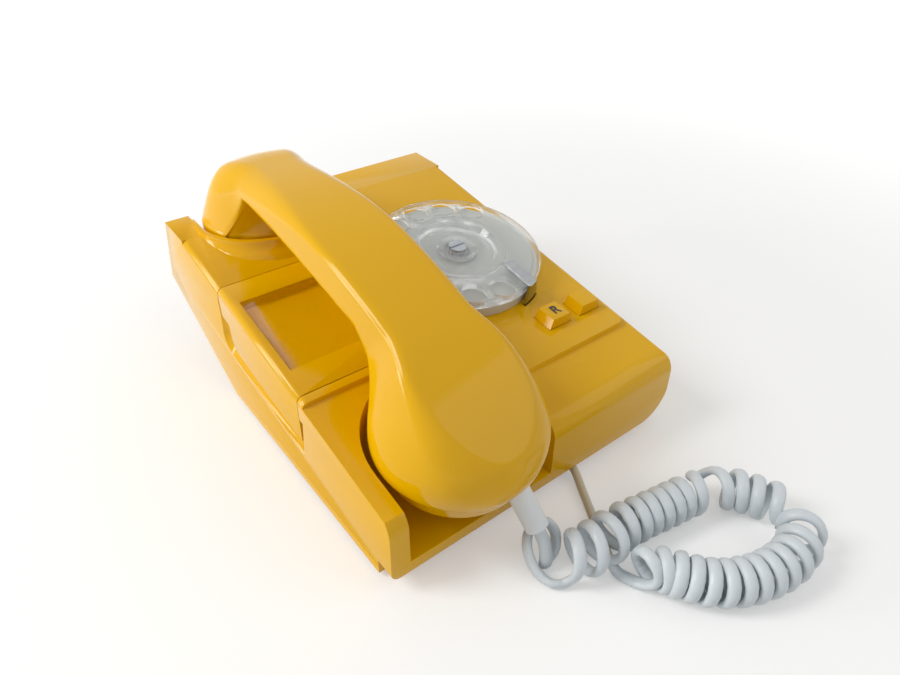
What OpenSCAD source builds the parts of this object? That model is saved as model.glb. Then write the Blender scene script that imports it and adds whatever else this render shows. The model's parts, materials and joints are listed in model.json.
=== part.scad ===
// Desk telephone with a finger-wheel dial, a wedge-shaped body, a handset that lies
// along the left side in two wells, and an index drawer under the handset.
// Body frame: x to the right, y to the rear, z up. y = 0 is the front seam of the index
// drawer and z = 0 the lower edge of the base plate; place() moves the finished part so
// that its origin is below its middle, on the surface that it stands on.

/* [Body] */
// Width of the body at mid height
body_w = 143.2; // [140:0.2:160]
// Outward lean of the side walls
side_draft = 1; // [0:0.25:2]
// Distance from the drawer's front seam to the front face
nose = 60.5; // [58:0.5:64]
// Height of the top face at the drawer's front seam
top_z0 = 45.7; // [44:0.1:50]
// Slope of the top face
top_tilt = 11.03; // [9:0.01:12]
// Radius of the roll-over from the top to the front face
front_r = 10; // [6:0.5:14]
// Where the sloping top meets the level rear strip
crease_y = 103.8; // [102:0.1:108]
// Upper rear edge
rear_top_y = 125; // [120:0.5:130]
// Height of the upper rear edge
rear_top_z = 66.9; // [66:0.1:70]
// Lower rear edge
rear_low_y = 135.8; // [133:0.1:140]
// Where the underside starts to rise to the rear
ramp_y = 71; // [68:0.5:76]
// Slope of the rising underside
ramp_tilt = 27.6; // [24:0.1:29]
// Wall of the moulded shells
wall = 2.5; // [1.8:0.1:3]
// Radius of the long top edges
edge_r = 2.6; // [1:0.1:4]
// Thickness of the base plate
base_t = 3.4; // [2.5:0.1:4.5]
// Set-back of the base plate from the front face
base_setback = 8.5; // [6:0.5:12]
// Radius of the front face's lower right corner
nose_corner_r = 15; // [12:0.5:17]
// Radius of the front face's lower left corner
nose_corner_l = 4; // [3:0.5:6]
// Height of the rubber feet under the base plate
foot_h = 2; // [1.5:0.1:4]
// Radius of a rubber foot
foot_r = 6.5; // [4:0.5:9]

/* [Plateau and wells] */
// Drop of the top face round the mouthpiece well
left_drop = 2; // [1:0.1:3]
// Height of the raised plateau at its front edge
plateau_rise = 2.3; // [1.5:0.1:3.5]
// Front edge of the plateau, ahead of the drawer's seam
plateau_front = 35.5; // [32:0.5:40]
// Where the plateau rises out of the top face
plateau_start = 3; // [1:0.5:5]
// Left edge of the plateau
plateau_x0 = 8; // [6:0.5:10]
// Distance from the right side face to the plateau
plateau_side = 3.6; // [2.8:0.1:5]
// Distance from the left side face to the handset's centre line
hs_side = 40.9; // [39.5:0.1:42]
// Centre of the mouthpiece well
mouth_well_y = -40.5; // [-42:0.1:-39]
// Radius of the mouthpiece well
mouth_well_r = 33.5; // [33.2:0.1:35]
// Height of the well's floor at the front face
mouth_floor_z = 9; // [8.5:0.1:10]
// Slope of the mouthpiece and of its well's floor
mouth_tilt = 6; // [3:0.5:7]
// Centre of the earpiece and of its well
ear_y = 107; // [106:0.1:108]
// Radius of the earpiece well
ear_well_r = 29.5; // [29:0.1:30.5]
// Height of the earpiece well's floor
ear_floor_z = 51.2; // [50:0.1:51.8]
// Height of the collar round the earpiece
collar_z = 68; // [66.5:0.1:70]
// Width of the collar's flat top
collar_w = 2.2; // [1.5:0.1:3]
// Radius of the collar's flared foot
collar_foot_r = 38; // [36:0.5:39]

/* [Index drawer] */
// Length of the drawer along the body
drawer_len = 67.4; // [60:0.1:68]
// Width of the drawer, from the side face inwards
drawer_w = 55; // [48:0.5:57]
// Depth of the drawer's body
drawer_h = 13; // [10:0.5:14]
// Seam round the drawer
drawer_gap = 0.4; // [0.3:0.05:0.6]
// Thickness of the drawer's side panel
panel_t = 3; // [2.5:0.1:4]
// Window in the drawer's top, from the front seam
window_y = 13; // [10:0.5:16]
// Length of the window
window_len = 42.7; // [36:0.1:46]
// Width of the window
window_w = 42; // [34:0.5:44]
// Distance from the side face to the window
window_inset = 4.8; // [4:0.1:7]
// Thickness of the window pane
pane_t = 1.2; // [0.8:0.1:2]
// Depth of the space under the pane
card_space = 2.8; // [2:0.1:4]
// Radius of the finger scoop in the side wall
scoop_r = 10.5; // [8:0.5:11]
// Depth of the finger scoop
scoop_d = 3.2; // [2:0.1:3.6]

/* [Dial] */
// Distance from the right side face to the dial's axis
dial_side = 43.9; // [42.5:0.1:45.5]
// Dial axis, front to rear
dial_y = 33.1; // [32:0.1:34]
// Radius of the finger wheel
wheel_r = 38.3; // [37:0.1:39]
// Height of the wheel's upper face over the body
wheel_z = 9.1; // [8:0.1:11]
// Thickness of the wheel
wheel_t = 2.5; // [2:0.1:3]
// Radius of the circle of finger holes
hole_pcr = 31.3; // [30.5:0.1:31.5]
// Radius of a finger hole
hole_r = 5.8; // [5.2:0.1:6]
// Angle between finger holes
hole_step = 25.7; // [24:0.1:27]
// Bearing of the first hole, clockwise from the rear
hole_first = 50; // [48:0.5:55]
// Radius of the dial's body under the wheel
dial_body_r = 37; // [35:0.1:38]
// Radius of the dial's case inside the housing
dial_case_r = 34; // [32:0.5:34.5]
// Depth of the dial's case
dial_depth = 22; // [21:0.5:24]
// Radius of the dial's shaft
shaft_r = 3; // [2.5:0.1:3.5]
// Running clearance of shafts and pins
running = 0.05; // [0.02:0.01:0.1]
// Tooth size of the governor gears
gear_m = 0.5; // [0.5:0.05:0.6]
// Teeth on the dial's gear
gear_teeth = 60; // [60:60]
// Teeth on the governor's pinion
pinion_teeth = 12; // [12:12]
// Width of the finger stop
stop_w = 5; // [4:0.1:5.5]
// Thickness of the finger stop
stop_t = 1; // [0.8:0.1:1.2]

/* [Buttons] */
// Width of a button at its base
button_w = 12.1; // [10:0.1:12.4]
// Length of a button at its base
button_l = 9.9; // [8:0.1:11]
// Height of a button over the plateau
button_h = 4.6; // [3.5:0.1:6]
// Width of a button's top
button_top_w = 9.4; // [8:0.1:10]
// Distance from the right side face to the recall button's centre
button_a_side = 30.4; // [29.5:0.1:31.5]
// Distance from the right side face to the second button's centre
button_b_side = 12.9; // [11.5:0.1:13.5]
// Both buttons, ahead of the drawer's seam
button_y = -18; // [-20:0.1:-16]
// Travel of a button
button_travel = 3; // [2:0.1:3.2]
// Length of a button's skirt inside the housing
button_skirt = 5; // [4.5:0.1:6]
// Gap round a button
button_gap = 0.35; // [0.25:0.05:0.5]

/* [Handset] */
// Centre of the mouthpiece
mouth_y = -44; // [-45:0.1:-43.5]
// Largest radius of the mouthpiece
mouth_r = 32.4; // [32:0.1:32.6]
// Radius of the mouthpiece cap
mouth_cap_r = 29.3; // [28.5:0.1:30]
// Height of the mouthpiece cap
mouth_cap_h = 10; // [8:0.5:10.5]
// Radius of the earpiece
ear_r = 28; // [27:0.1:28.3]
// Half width of the grip
grip_hw = 17.5; // [16:0.1:19]
// Top of the handset
hs_top_z = 99; // [98:0.5:102]
// Thickness of the handset's shells
hs_wall = 2.4; // [1.8:0.1:3]
// Diameter of the cord's sleeve
sleeve_d = 9; // [8:0.1:10]
// Length of the cord's sleeve
sleeve_len = 21; // [18:0.5:24]

/* [Cord] */
// Width of the flat handset cord
cord_w = 4.8; // [4:0.1:5.5]
// Outer diameter of the curly part
coil_d = 17; // [15:0.5:18]
// Diameter of the plain tail at the body
tail_d = 3.4; // [3:0.1:4]

/* [Hidden] */

$fn = 96;
e = 0.01;
far = 400;
yellow = "#e0a800";
grey = "#c4c6c2";
dark = "#2b2b2b";
steel = "#b8bcc0";
brass = "#c9a352";
clear = [0.9, 0.92, 0.9, 0.35];
cord_grey = "#c3cdd6";

hw = body_w / 2;
hs_x = hs_side - hw;
plateau_x1 = hw - plateau_side;
dial_x = hw - dial_side;
button_a_x = hw - button_a_side;
button_b_x = hw - button_b_side;
draft_z = 45;
// Rest gap between pieces that bear on each other
seat = 0.3;
front_reach = -(mouth_y - mouth_r);
mid_y = (rear_low_y - front_reach) / 2;

// Height of the sloping top face, and of the top of the rising base plate
function top_z(y) = top_z0 + y * tan(top_tilt);
function ramp_z(y) = (y - ramp_y) * tan(ramp_tilt);
function arc(c, r, a0, a1, n) =
  [for (i = [0:n]) c + r * [cos(a0 + (a1 - a0) * i / n), sin(a0 + (a1 - a0) * i / n)]];

rear_low_z = ramp_z(rear_low_y);
nose_bottom = base_t + 0.4;

module place() translate([0, -mid_y, foot_h]) children();

// A side outline in (y, z), carried across the body from x0 to x1
module across(x0, x1) translate([x0, 0, 0]) rotate([90, 0, 90]) linear_extrude(x1 - x0) children();

// A frame on the sloping top face, its z along the face's normal
module on_top(x, y) translate([x, y, top_z(y)]) rotate([top_tilt, 0, 0]) children();
module at_dial() on_top(dial_x, dial_y) children();
module at_mouth() translate([hs_x, mouth_y + 1, 32]) rotate([mouth_tilt, 0, 0]) children();
module at_ear() translate([hs_x, ear_y, 0]) children();

// ---- Body -------------------------------------------------------------------------

// Side outline of the whole body, k inside its outer faces
function body_outline(k) = let (ty = -nose + front_r, tz = top_z(ty) - front_r / cos(top_tilt))
  concat([[-nose + k, nose_bottom + k]],
    arc([ty, tz], front_r - k, 180, 90 + top_tilt, 12),
    [[crease_y, top_z(crease_y) - k / cos(top_tilt)], [rear_top_y - k / 2, rear_top_z - k],
     [rear_low_y - 1.2 * k, rear_low_z + k], [ramp_y + k / 4, k], [-nose + base_setback + k, k],
     [-nose + base_setback + k, nose_bottom + k]]);

module side_lean() rotate([90, 0, 0]) translate([0, 0, -far / 2]) linear_extrude(far)
  polygon([for (s = [[-1, -20], [1, -20], [1, 110], [-1, 110]])
    [s[0] * (hw + (draft_z - s[1]) * tan(side_draft)), s[1]]]);

// Rounded lower corners of the nose, cut ahead of the base plate
module nose_corners() for (s = [-1, 1]) {
  r = s > 0 ? nose_corner_r : nose_corner_l;
  x = s * (hw + (draft_z - nose_bottom) * tan(side_draft) - r);
  translate([0, -nose + base_setback, 0]) rotate([90, 0, 0]) linear_extrude(far) difference() {
    translate([s > 0 ? x : x - far, nose_bottom + r - far]) square([far, far]);
    translate([x, nose_bottom + r]) circle(r);
  }
}

module body_block() difference() {
  intersection() {
    across(-far / 2, far / 2) polygon(body_outline(0));
    side_lean();
  }
  nose_corners();
}

// Everything under the seam between housing and base plate
module base_zone() across(-far / 2, far / 2) polygon([[-far, -far], [-far, base_t],
  [ramp_y - base_t * tan(ramp_tilt / 2), base_t],
  [far, ramp_z(far) + base_t / cos(ramp_tilt)], [far, -far]]);

module body_cavity() intersection() {
  across(-hw + wall, hw - wall) polygon(body_outline(wall));
  translate([-far / 2, -nose + wall, 0]) cube([far, far, far]);
}

// Rounds the long top edges ahead of the crease
module edge_rounding(side) translate([side * (hw - (top_z0 - draft_z) * tan(side_draft)), 0, top_z0])
  rotate([top_tilt, 0, side * atan(tan(top_tilt) * tan(side_draft))])
    translate([0, -2 * nose, 0]) difference() {
      translate([-edge_r, 0, -edge_r])
        cube([2 * edge_r, 2 * nose + crease_y / cos(top_tilt), 2 * edge_r]);
      translate([-side * edge_r, -e, -edge_r]) rotate([-90, 0, 0]) cylinder(r = edge_r, h = far);
      translate([side > 0 ? -2 * edge_r : edge_r, -e, -far / 2]) cube([edge_r + e, far, far / 2 + e]);
      translate([-2 * edge_r, -e, -2 * edge_r - e]) cube([4 * edge_r, far, edge_r]);
    }

// Plan outline of a well that is round at one end and open at the other
module well_plan(r, cy, dir) translate([hs_x, cy]) union() {
  circle(r);
  translate([-r, dir > 0 ? 0 : -far]) square([2 * r, far]);
}

// Space over a floor that slopes with the mouthpiece
module over_mouth_floor(drop) translate([0, -nose, mouth_floor_z - drop]) rotate([mouth_tilt, 0, 0])
  translate([-far / 2, -far / 2, 0]) cube([far, far, far]);

module mouth_well(k) intersection() {
  translate([0, 0, -far / 2]) linear_extrude(far) well_plan(mouth_well_r + k, mouth_well_y, -1);
  over_mouth_floor(k);
}
module ear_well(k) translate([0, 0, ear_floor_z - k]) linear_extrude(far)
  well_plan(ear_well_r + k, ear_y, 1);

// The collar round the front half of the earpiece well
module collar() intersection() {
  at_ear() rotate_extrude() polygon(concat([[0, 30], [0, collar_z]],
    [[ear_well_r + collar_w, collar_z]],
    arc([collar_foot_r + 1, collar_z], collar_foot_r + 1 - ear_well_r - collar_w, 180, 232, 6),
    [[collar_foot_r, 55], [collar_foot_r, 30]]));
  translate([hs_x - far / 2, ear_y - far, 0]) cube([far, far + 12, far]);
}

// Lower and rear seam of the drawer's side panel, grown by k
function panel_outline(k) = [[-k, 24.2 - k], [-k, top_z(-k) + 1],
  [drawer_len + k, top_z(drawer_len + k) + 1],
  [drawer_len - 0.8 + k, top_z(drawer_len) - 4], [61.6 + k, 49.8], [60.4 + k, 37], [58.6 + k, 34 - k],
  [56 + k, 32.4 - k], [38.6, 29 - k]];

module drawer_space(k) {
  intersection() {
    on_top(-hw - 1, 0) translate([0, -k, -drawer_h - k])
      cube([drawer_w + 1 + k, drawer_len / cos(top_tilt) + 2 * k, far]);
    translate([-hw - 2, -k, 0]) cube([far, drawer_len + 2 * k, far]);
  }
  across(-hw - 2, -hw + panel_t + k) polygon(panel_outline(k));
}

// Thicker wall behind the scoop, and the scoop itself
module scoop_pad() intersection() {
  translate([-hw, -2, 14]) cube([panel_t + wall + 1.2, 82, 48]);
  across(-far / 2, far / 2) polygon(body_outline(wall / 2));
}
module scoop_path(x) {
  corner = [x, drawer_len - 4.6, 34.8];
  translate(corner) sphere(scoop_r + 0.25);
  translate(corner) rotate([98, 0, 2]) cylinder(r = scoop_r, h = 65);
  translate(corner) rotate([4, 0, 0]) cylinder(r = scoop_r, h = 16);
  translate(corner) rotate([4, 0, 0]) translate([0, 0, 16]) sphere(scoop_r + 0.25);
}

module plateau() intersection() {
  across(plateau_x0, plateau_x1) polygon([[-plateau_front, 20],
    [-plateau_front, top_z(-plateau_front) + plateau_rise],
    [-plateau_start, top_z(-plateau_start)], [-plateau_start, 20]]);
  translate([plateau_x0, -plateau_front, 0]) linear_extrude(far) union() {
    translate([4, 0]) square([plateau_x1 - plateau_x0 - 8, far]);
    translate([0, 4]) square([plateau_x1 - plateau_x0, far]);
    for (x = [4, plateau_x1 - plateau_x0 - 4]) translate([x, 4]) circle(4);
  }
}
plateau_tilt = atan(tan(top_tilt) - plateau_rise / (plateau_front - plateau_start));
module on_plateau(x, y) translate([x, y, top_z(-plateau_start) + (y + plateau_start) * tan(plateau_tilt)])
  rotate([plateau_tilt, 0, 0]) children();
module at_button(x) on_plateau(x, button_y) children();

screw_at = [[-hw + 11.6, 8], [hw - 9.6, -28], [-hw + 11.6, 58], [hw - 9.6, 58]];
boss_r = 4;
screw_r = 1.5;
module at_screws() for (p = screw_at) translate([p[0], p[1], 0]) children();

// Slot that the finger stop's foot goes down into
module stop_slot(k) rotate_extrude_part(wheel_r + stop_gap - k, wheel_r + stop_gap + stop_t + k,
  -stop_depth - k / 2, far, stop_a0 - k, stop_a1 + k);
stop_gap = 0.6;
step_y = 4;
stop_a0 = 151;
stop_a1 = 166.5;
stop_depth = 2.4;
// Part of a ring between two bearings, clockwise from the rear
module rotate_extrude_part(r0, r1, z0, z1, a0, a1) rotate([0, 0, 90 - a1])
  rotate_extrude(angle = a1 - a0) translate([r0, z0]) square([r1 - r0, z1 - z0]);

module top_housing() color(yellow) place() {
  housing_shell();
  rest_ribs();
}
module housing_shell() difference() {
  union() {
    difference() {
      union() {
        difference() {
          body_block();
          edge_rounding(1);
          edge_rounding(-1);
          // lower top face round the mouthpiece well
          across(-far / 2, hs_x + mouth_well_r) polygon([[-step_y, top_z(-step_y) - left_drop],
            [-step_y, far], [-far, far], [-far, top_z(-far) - left_drop]]);
        }
        plateau();
        intersection() {
          collar();
          union() {
            body_block();
            translate([-hw, 0, 50]) cube([body_w, rear_top_y - 5, far]);
          }
        }
      }
      difference() {
        body_cavity();
        scoop_pad();
        mouth_well(wall);
        ear_well(wall);
        drawer_floor();
        at_dial() translate([0, 0, -wall - stop_depth])
          rotate_extrude_part(dial_case_r + 0.6, wheel_r + 5, 0, far, 140, 180);
        at_screws() cylinder(r = boss_r, h = far);
      }
    }
  }
  mouth_well(0);
  ear_well(0);
  drawer_space(drawer_gap);
  scoop_path(-hw - scoop_r + scoop_d);
  at_dial() translate([0, 0, -far / 2]) cylinder(r = dial_case_r + 0.5, h = far / 2 + 1);
  at_dial() stop_slot(0.4);
  for (x = [button_a_x, button_b_x]) at_button(x)
    translate([-button_w / 2 - button_gap, -button_l / 2 - button_gap, -10])
      cube([button_w + 2 * button_gap, button_l + 2 * button_gap, 20]);
  at_screws() translate([0, 0, -e]) cylinder(r = screw_r, h = 16);
  translate([hs_x, ear_y, ear_floor_z - far / 2]) cylinder(r = plunger_r + running, h = far);
  at_gland() cylinder(r = gland_r, h = gland_len);
  base_zone();
}
// Ribs on the floor of the mouthpiece well, which carry the handset
module rest_ribs() intersection() {
  mouth_well(0.5);
  for (s = [-1, 1]) translate([hs_x + s * rib_x - rib_t / 2, mouth_y + 4, 0]) cube([rib_t, 24, far]);
  at_mouth() translate([-far / 2, -far / 2, -mouth_cap_h - seat - far]) cube([far, far, far]);
}
rib_x = 12;
rib_t = 2;
// Shelf that carries the drawer
module drawer_floor() intersection() {
  on_top(-hw, 0) translate([0, -wall - drawer_gap, -drawer_h - drawer_gap - wall])
    cube([drawer_w + wall + drawer_gap, drawer_len / cos(top_tilt) + 2 * (wall + drawer_gap), far]);
  translate([-far / 2, -wall - drawer_gap, 0]) cube([far, drawer_len + 2 * (wall + drawer_gap), far]);
}

module base_plate() color(yellow) place() difference() {
  union() {
    intersection() {
      body_block();
      base_zone();
      translate([-hw * 2, -nose + base_setback, -1]) cube([far, far, far]);
    }
    for (p = board_posts) translate([p[0], p[1], base_t - e]) cylinder(r = 3, h = board_z - base_t + e);
    for (p = ringer_posts) translate([p[0], p[1], max(0, ramp_z(p[1])) + base_t / 2])
      cylinder(r = 3, h = ringer_z - max(0, ramp_z(p[1])) - base_t / 2);
  }
  at_screws() translate([0, 0, -1]) cylinder(r = screw_r + 0.2, h = far);
  at_screws() translate([0, 0, -1]) cylinder(r = 3.2, h = 2.5);
  for (p = feet_at) translate([p[0], p[1], -1]) cylinder(r = foot_peg_r, h = far);
  at_gland() translate([0, 0, -1]) cylinder(r = gland_r, h = gland_len + 1);
  at_gland() translate([-gland_r, -10, -1]) cube([2 * gland_r, 10, gland_len + 1]);
  at_inlet() translate([0, 0, -6]) cylinder(r = inlet_r, h = 14);
}

foot_inset = 15.6;
feet_at = [for (x = [foot_inset - hw, hw - foot_inset], y = [-42, 44]) [x, y]];
foot_peg_r = 2.5;
module rubber_feet() color(dark) place() for (p = feet_at) translate([p[0], p[1], 0]) {
  translate([0, 0, -foot_h]) cylinder(r = foot_r, h = foot_h);
  translate([0, 0, -e]) cylinder(r = foot_peg_r, h = base_t + e);
}

module housing_screws() color(steel) place() at_screws() {
  translate([0, 0, 0.1]) cylinder(r = 3, h = 1.4);
  translate([0, 0, 0.2]) cylinder(r = screw_r, h = 14);
}

// ---- Cord fittings ------------------------------------------------------------------

cord_x = 17.5;
gland_z = 1.9;
gland_r = 3.4;
gland_len = 8;
// A frame at the gland's mouth, its z into the body and its y down
module at_gland() translate([cord_x, -nose + base_setback, gland_z]) rotate([-90, 0, 0]) children();
module handset_cord_gland() color(cord_grey) place() at_gland() difference() {
  union() {
    cylinder(r = gland_r - 0.05, h = gland_len);
    translate([-gland_r + 0.05, -(base_t - gland_z), 0])
      cube([2 * gland_r - 0.1, base_t - gland_z, gland_len]);
  }
  translate([0, 0, -1]) cylinder(r = tail_d / 2 + 0.05, h = 1 + gland_pocket);
  translate([-10, gland_z, -1]) cube([20, 10, gland_len + 2]);
}
gland_pocket = 1;

inlet_x = -20;
inlet_y = 100;
inlet_r = 5;
line_cord_r = 2.4;
inlet_flange = 1.6;
// A frame on the rising underside, its z into the body
module at_inlet() translate([inlet_x, inlet_y, ramp_z(inlet_y)]) rotate([ramp_tilt, 0, 0]) children();
module line_cord_inlet() color(dark) place() at_inlet() difference() {
  union() {
    translate([0, 0, -inlet_flange]) cylinder(r = inlet_r + 1.8, h = inlet_flange);
    translate([0, 0, -1]) cylinder(r = inlet_r, h = 8);
  }
  translate([0, 0, -5]) cylinder(r = line_cord_r, h = 20);
}

// ---- Electrical parts -----------------------------------------------------------------

board_z = 6.4;
board_t = 1.6;
board_x0 = 19.6 - hw;
board_x1 = hw - 13.6;
board_l = 40;
board_posts = [for (x = [board_x0 + 4, board_x1 - 4], y = [4, board_l - 4]) [x, y]];
module circuit_board() color("#7a5a2c") place() difference() {
  translate([board_x0, 0, board_z]) cube([board_x1 - board_x0, board_l, board_t]);
  for (p = board_posts) translate([p[0], p[1], board_z - 1]) cylinder(r = 1.3, h = 4);
}
board_top = board_z + board_t;
module induction_coil() color("#6b6f72") place() translate([board_x0 + 15, board_l / 2, board_top]) {
  difference() {
    translate([-13, -10, 0]) cube([26, 20, 20]);
    translate([-8, -11, 5]) cube([4, 22, 10]);
    translate([4, -11, 5]) cube([4, 22, 10]);
  }
  translate([-8, -9, 5]) cube([4, 18, 10]);
  translate([4, -9, 5]) cube([4, 18, 10]);
}
module ringing_capacitor() color("#a8432f") place() translate([-14, 6, board_top + 6]) rotate([-90, 0, 0]) {
  cylinder(r = 6, h = 28);
  translate([0, 0, -1.5]) cylinder(r = 1, h = 31);
}
module terminal_block() color("#3d3a36") place() translate([14, 6, board_top]) difference() {
  cube([34, 12, 9]);
  for (i = [0:3]) translate([4.5 + 8.4 * i, 6, 3]) cylinder(r = 2.2, h = 10);
  for (i = [0:2]) translate([8.2 + 8.4 * i, -1, 6]) cube([1, 14, 5]);
}

// ---- Ringer -----------------------------------------------------------------------

ringer_z = 31;
ringer_t = 1.5;
ringer_top = ringer_z + ringer_t;
ringer_x = [hw - 66.6, hw - 3.6];
ringer_y = [71, 114];
ringer_posts = [for (x = [ringer_x[0] + 4, ringer_x[1] - 4], y = [ringer_y[0] + 5, ringer_y[1] - 4]) [x, y]];
gong_x = [ringer_x[0] + 15, ringer_x[1] - 15];
gong_y = 98;
gong_r = 15;
gong_h = 8;
gong_z = 44;
clapper_x = (gong_x[0] + gong_x[1]) / 2;
clapper_y = ringer_y[0] + 5;
coil_h = 19;
armature_z = ringer_top + coil_h + 0.4;
pivot_r = 1.2;
module ringer_bracket() color(steel) place() {
  difference() {
    translate([ringer_x[0], ringer_y[0], ringer_z])
      cube([ringer_x[1] - ringer_x[0], ringer_y[1] - ringer_y[0], ringer_t]);
    for (p = ringer_posts) translate([p[0], p[1], 0]) cylinder(r = 1.4, h = 60);
  }
  for (x = gong_x) translate([x, gong_y, ringer_top - e]) cylinder(r = 3, h = gong_z - ringer_top + e);
  translate([clapper_x, clapper_y, ringer_top - e]) cylinder(r = pivot_r, h = coil_h + 4);
}
module ringer_coils() color("#8a4b2a") place() for (s = [-1, 1])
  translate([clapper_x + s * 8.5, clapper_y, ringer_top]) {
  cylinder(r = 6.1, h = 1.2);
  translate([0, 0, 1.2 - e]) cylinder(r = 5.4, h = coil_h - 2.4 + 2 * e);
  translate([0, 0, coil_h - 1.2]) cylinder(r = 6.1, h = 1.2);
}
module gong_left() color(brass) gong_shell(gong_x[0]);
module gong_right() color(brass) gong_shell(gong_x[1]);
module gong_shell(x) place() translate([x, gong_y, gong_z]) difference() {
  union() {
    cylinder(r = 7, h = 1.3);
    rotate_extrude() polygon([[5, 0], [5, 1.3], [7, 1.3], [11.5, 0], [14, -3], [gong_r, -gong_h],
      [gong_r - 1.3, -gong_h], [12.9, -3.6], [10.8, -1.3], [6.7, 0]]);
  }
  translate([0, 0, -1]) cylinder(r = 1.6, h = 4);
}
module gong_screws() color(steel) place() for (x = gong_x) translate([x, gong_y, gong_z + 1.3]) difference() {
  cylinder(r = 3, h = 1.8);
  translate([-4, -0.4, 1]) cube([8, 0.8, 2]);
}
module bell_clapper() color(steel) place() translate([clapper_x, clapper_y, armature_z]) {
  difference() {
    union() {
      translate([-13, -3, 0]) cube([26, 6, 2]);
      cylinder(r = 3, h = 2);
      translate([-0.7, 2.5, 0]) cube([1.4, 12.5, 1.4]);
    }
    translate([0, 0, -1]) cylinder(r = pivot_r + running, h = 4);
  }
  translate([0, 15, gong_z - armature_z - 3.5]) cylinder(r = 1.6, h = 4);
  translate([0, 15, gong_z - armature_z]) cylinder(r = 0.9, h = armature_z - gong_z + 1.4);
}

// ---- Dial -------------------------------------------------------------------------

wheel_low = wheel_z - wheel_t;
plate_top = wheel_low - seat;
plate_t = 0.8;
plate_inset = 2.4;
case_wall = 2;
bushing_r = 5;
bridge_z = -4;
gear_z = -10;
gear_t = 3;
cam_z = -14;
cam_r = 8;
governor_a = 215;
governor_d = gear_m * (gear_teeth + pinion_teeth) / 2;
module at_governor() rotate([0, 0, 90 - governor_a]) translate([governor_d, 0, 0]) children();

module dial_case() color(grey) place() at_dial() difference() {
  rotate_extrude() polygon([[shaft_r + running, -dial_depth], [dial_case_r, -dial_depth],
    [dial_case_r, 0.2], [dial_body_r, 0.2], [dial_body_r, plate_top - 1.2],
    [dial_body_r - 1.2, plate_top], [dial_body_r - plate_inset, plate_top],
    [dial_body_r - plate_inset, plate_top - plate_t], [dial_case_r - case_wall, plate_top - plate_t - 1],
    [dial_case_r - case_wall, -dial_depth + case_wall], [bushing_r, -dial_depth + case_wall],
    [bushing_r, cam_z - 0.6], [shaft_r + running, cam_z - 0.6]]);
  at_governor() translate([0, 0, -dial_depth + case_wall - 1.2]) cylinder(r = 1 + running, h = 5);
}

module number_plate() color(grey) place() at_dial() difference() {
  translate([0, 0, plate_top - plate_t]) cylinder(r = dial_body_r - plate_inset - 0.1, h = plate_t);
  translate([0, 0, -5]) cylinder(r = shaft_r + 3, h = 20);
}

stop_top = wheel_z + 0.7;
stop_mid = (stop_a0 + stop_a1) / 2;
stop_x = 10.2;
module finger_stop() color(steel) place() at_dial() {
  r = wheel_r + stop_gap;
  // arm over the wheel
  intersection() {
    translate([stop_x, -r - stop_t, stop_top]) cube([stop_w, r + stop_t - 20.3, stop_t]);
    cylinder(r = r + stop_t, h = 20);
  }
  // plate outside the rim, wider at its foot
  intersection() {
    rotate_extrude_part(r, r + stop_t, -stop_depth, stop_top + stop_t, stop_a0, stop_a1);
    rotate([0, 0, 180 - stop_mid]) rotate([90, 0, 0]) linear_extrude(far)
      polygon([[-5.6, -stop_depth], [-5.6, 0.5], [-4.5, stop_top + stop_t + 1],
        [0.8, stop_top + stop_t + 1], [0.8, stop_top], [5.6, 0.5], [5.6, -stop_depth]]);
  }
}

module dial_bridge() color(steel) place() at_dial() difference() {
  intersection() {
    rotate([0, 0, 90 - governor_a]) translate([-far / 2, -6, bridge_z]) cube([far, 12, 1.6]);
    translate([0, 0, bridge_z]) cylinder(r = dial_case_r - case_wall, h = 1.6);
  }
  translate([0, 0, -6]) cylinder(r = shaft_r + 1.5, h = 10);
  at_governor() translate([0, 0, -6]) cylinder(r = 1 + running, h = 10);
}

module pulse_contacts() color("#7d3b2e") place() at_dial() rotate([0, 0, 60]) {
  translate([cam_r + 3, -5, -dial_depth + case_wall]) cube([7, 10, 9]);
  color(brass) for (i = [0:2]) translate([cam_r + 4 + 2 * i, -13, -dial_depth + case_wall + 4])
    cube([0.4, 26, 3]);
}

module mainspring() color("#5f6468") place() at_dial() translate([0, 0, -dial_depth + case_wall])
  rotate_extrude() polygon([[bushing_r + 0.3, 0], [8.4, 0], [8.4, 5], [bushing_r + 0.3, 5]]);

module governor_cup() color(brass) place() at_dial() at_governor() translate([0, 0, -dial_depth + case_wall])
  rotate_extrude() polygon([[1.6, 0], [8.8, 0], [8.8, 6.6], [7.8, 6.6], [7.8, 1], [1.6, 1]]);

// A toothed wheel of straight-sided teeth with play at the flanks
function gear_points(m, n, ph) = [for (i = [0:n - 1]) let (r = m * n / 2, s = 360 / n,
    h = [[r - 1.15 * m, -0.33], [r - 0.1 * m, -0.215], [r + 0.85 * m, -0.1], [r + 0.85 * m, 0.1],
         [r - 0.1 * m, 0.215], [r - 1.15 * m, 0.33]])
  for (p = h) p[0] * [cos(s * (i + p[1]) + ph), sin(s * (i + p[1]) + ph)]];

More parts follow.
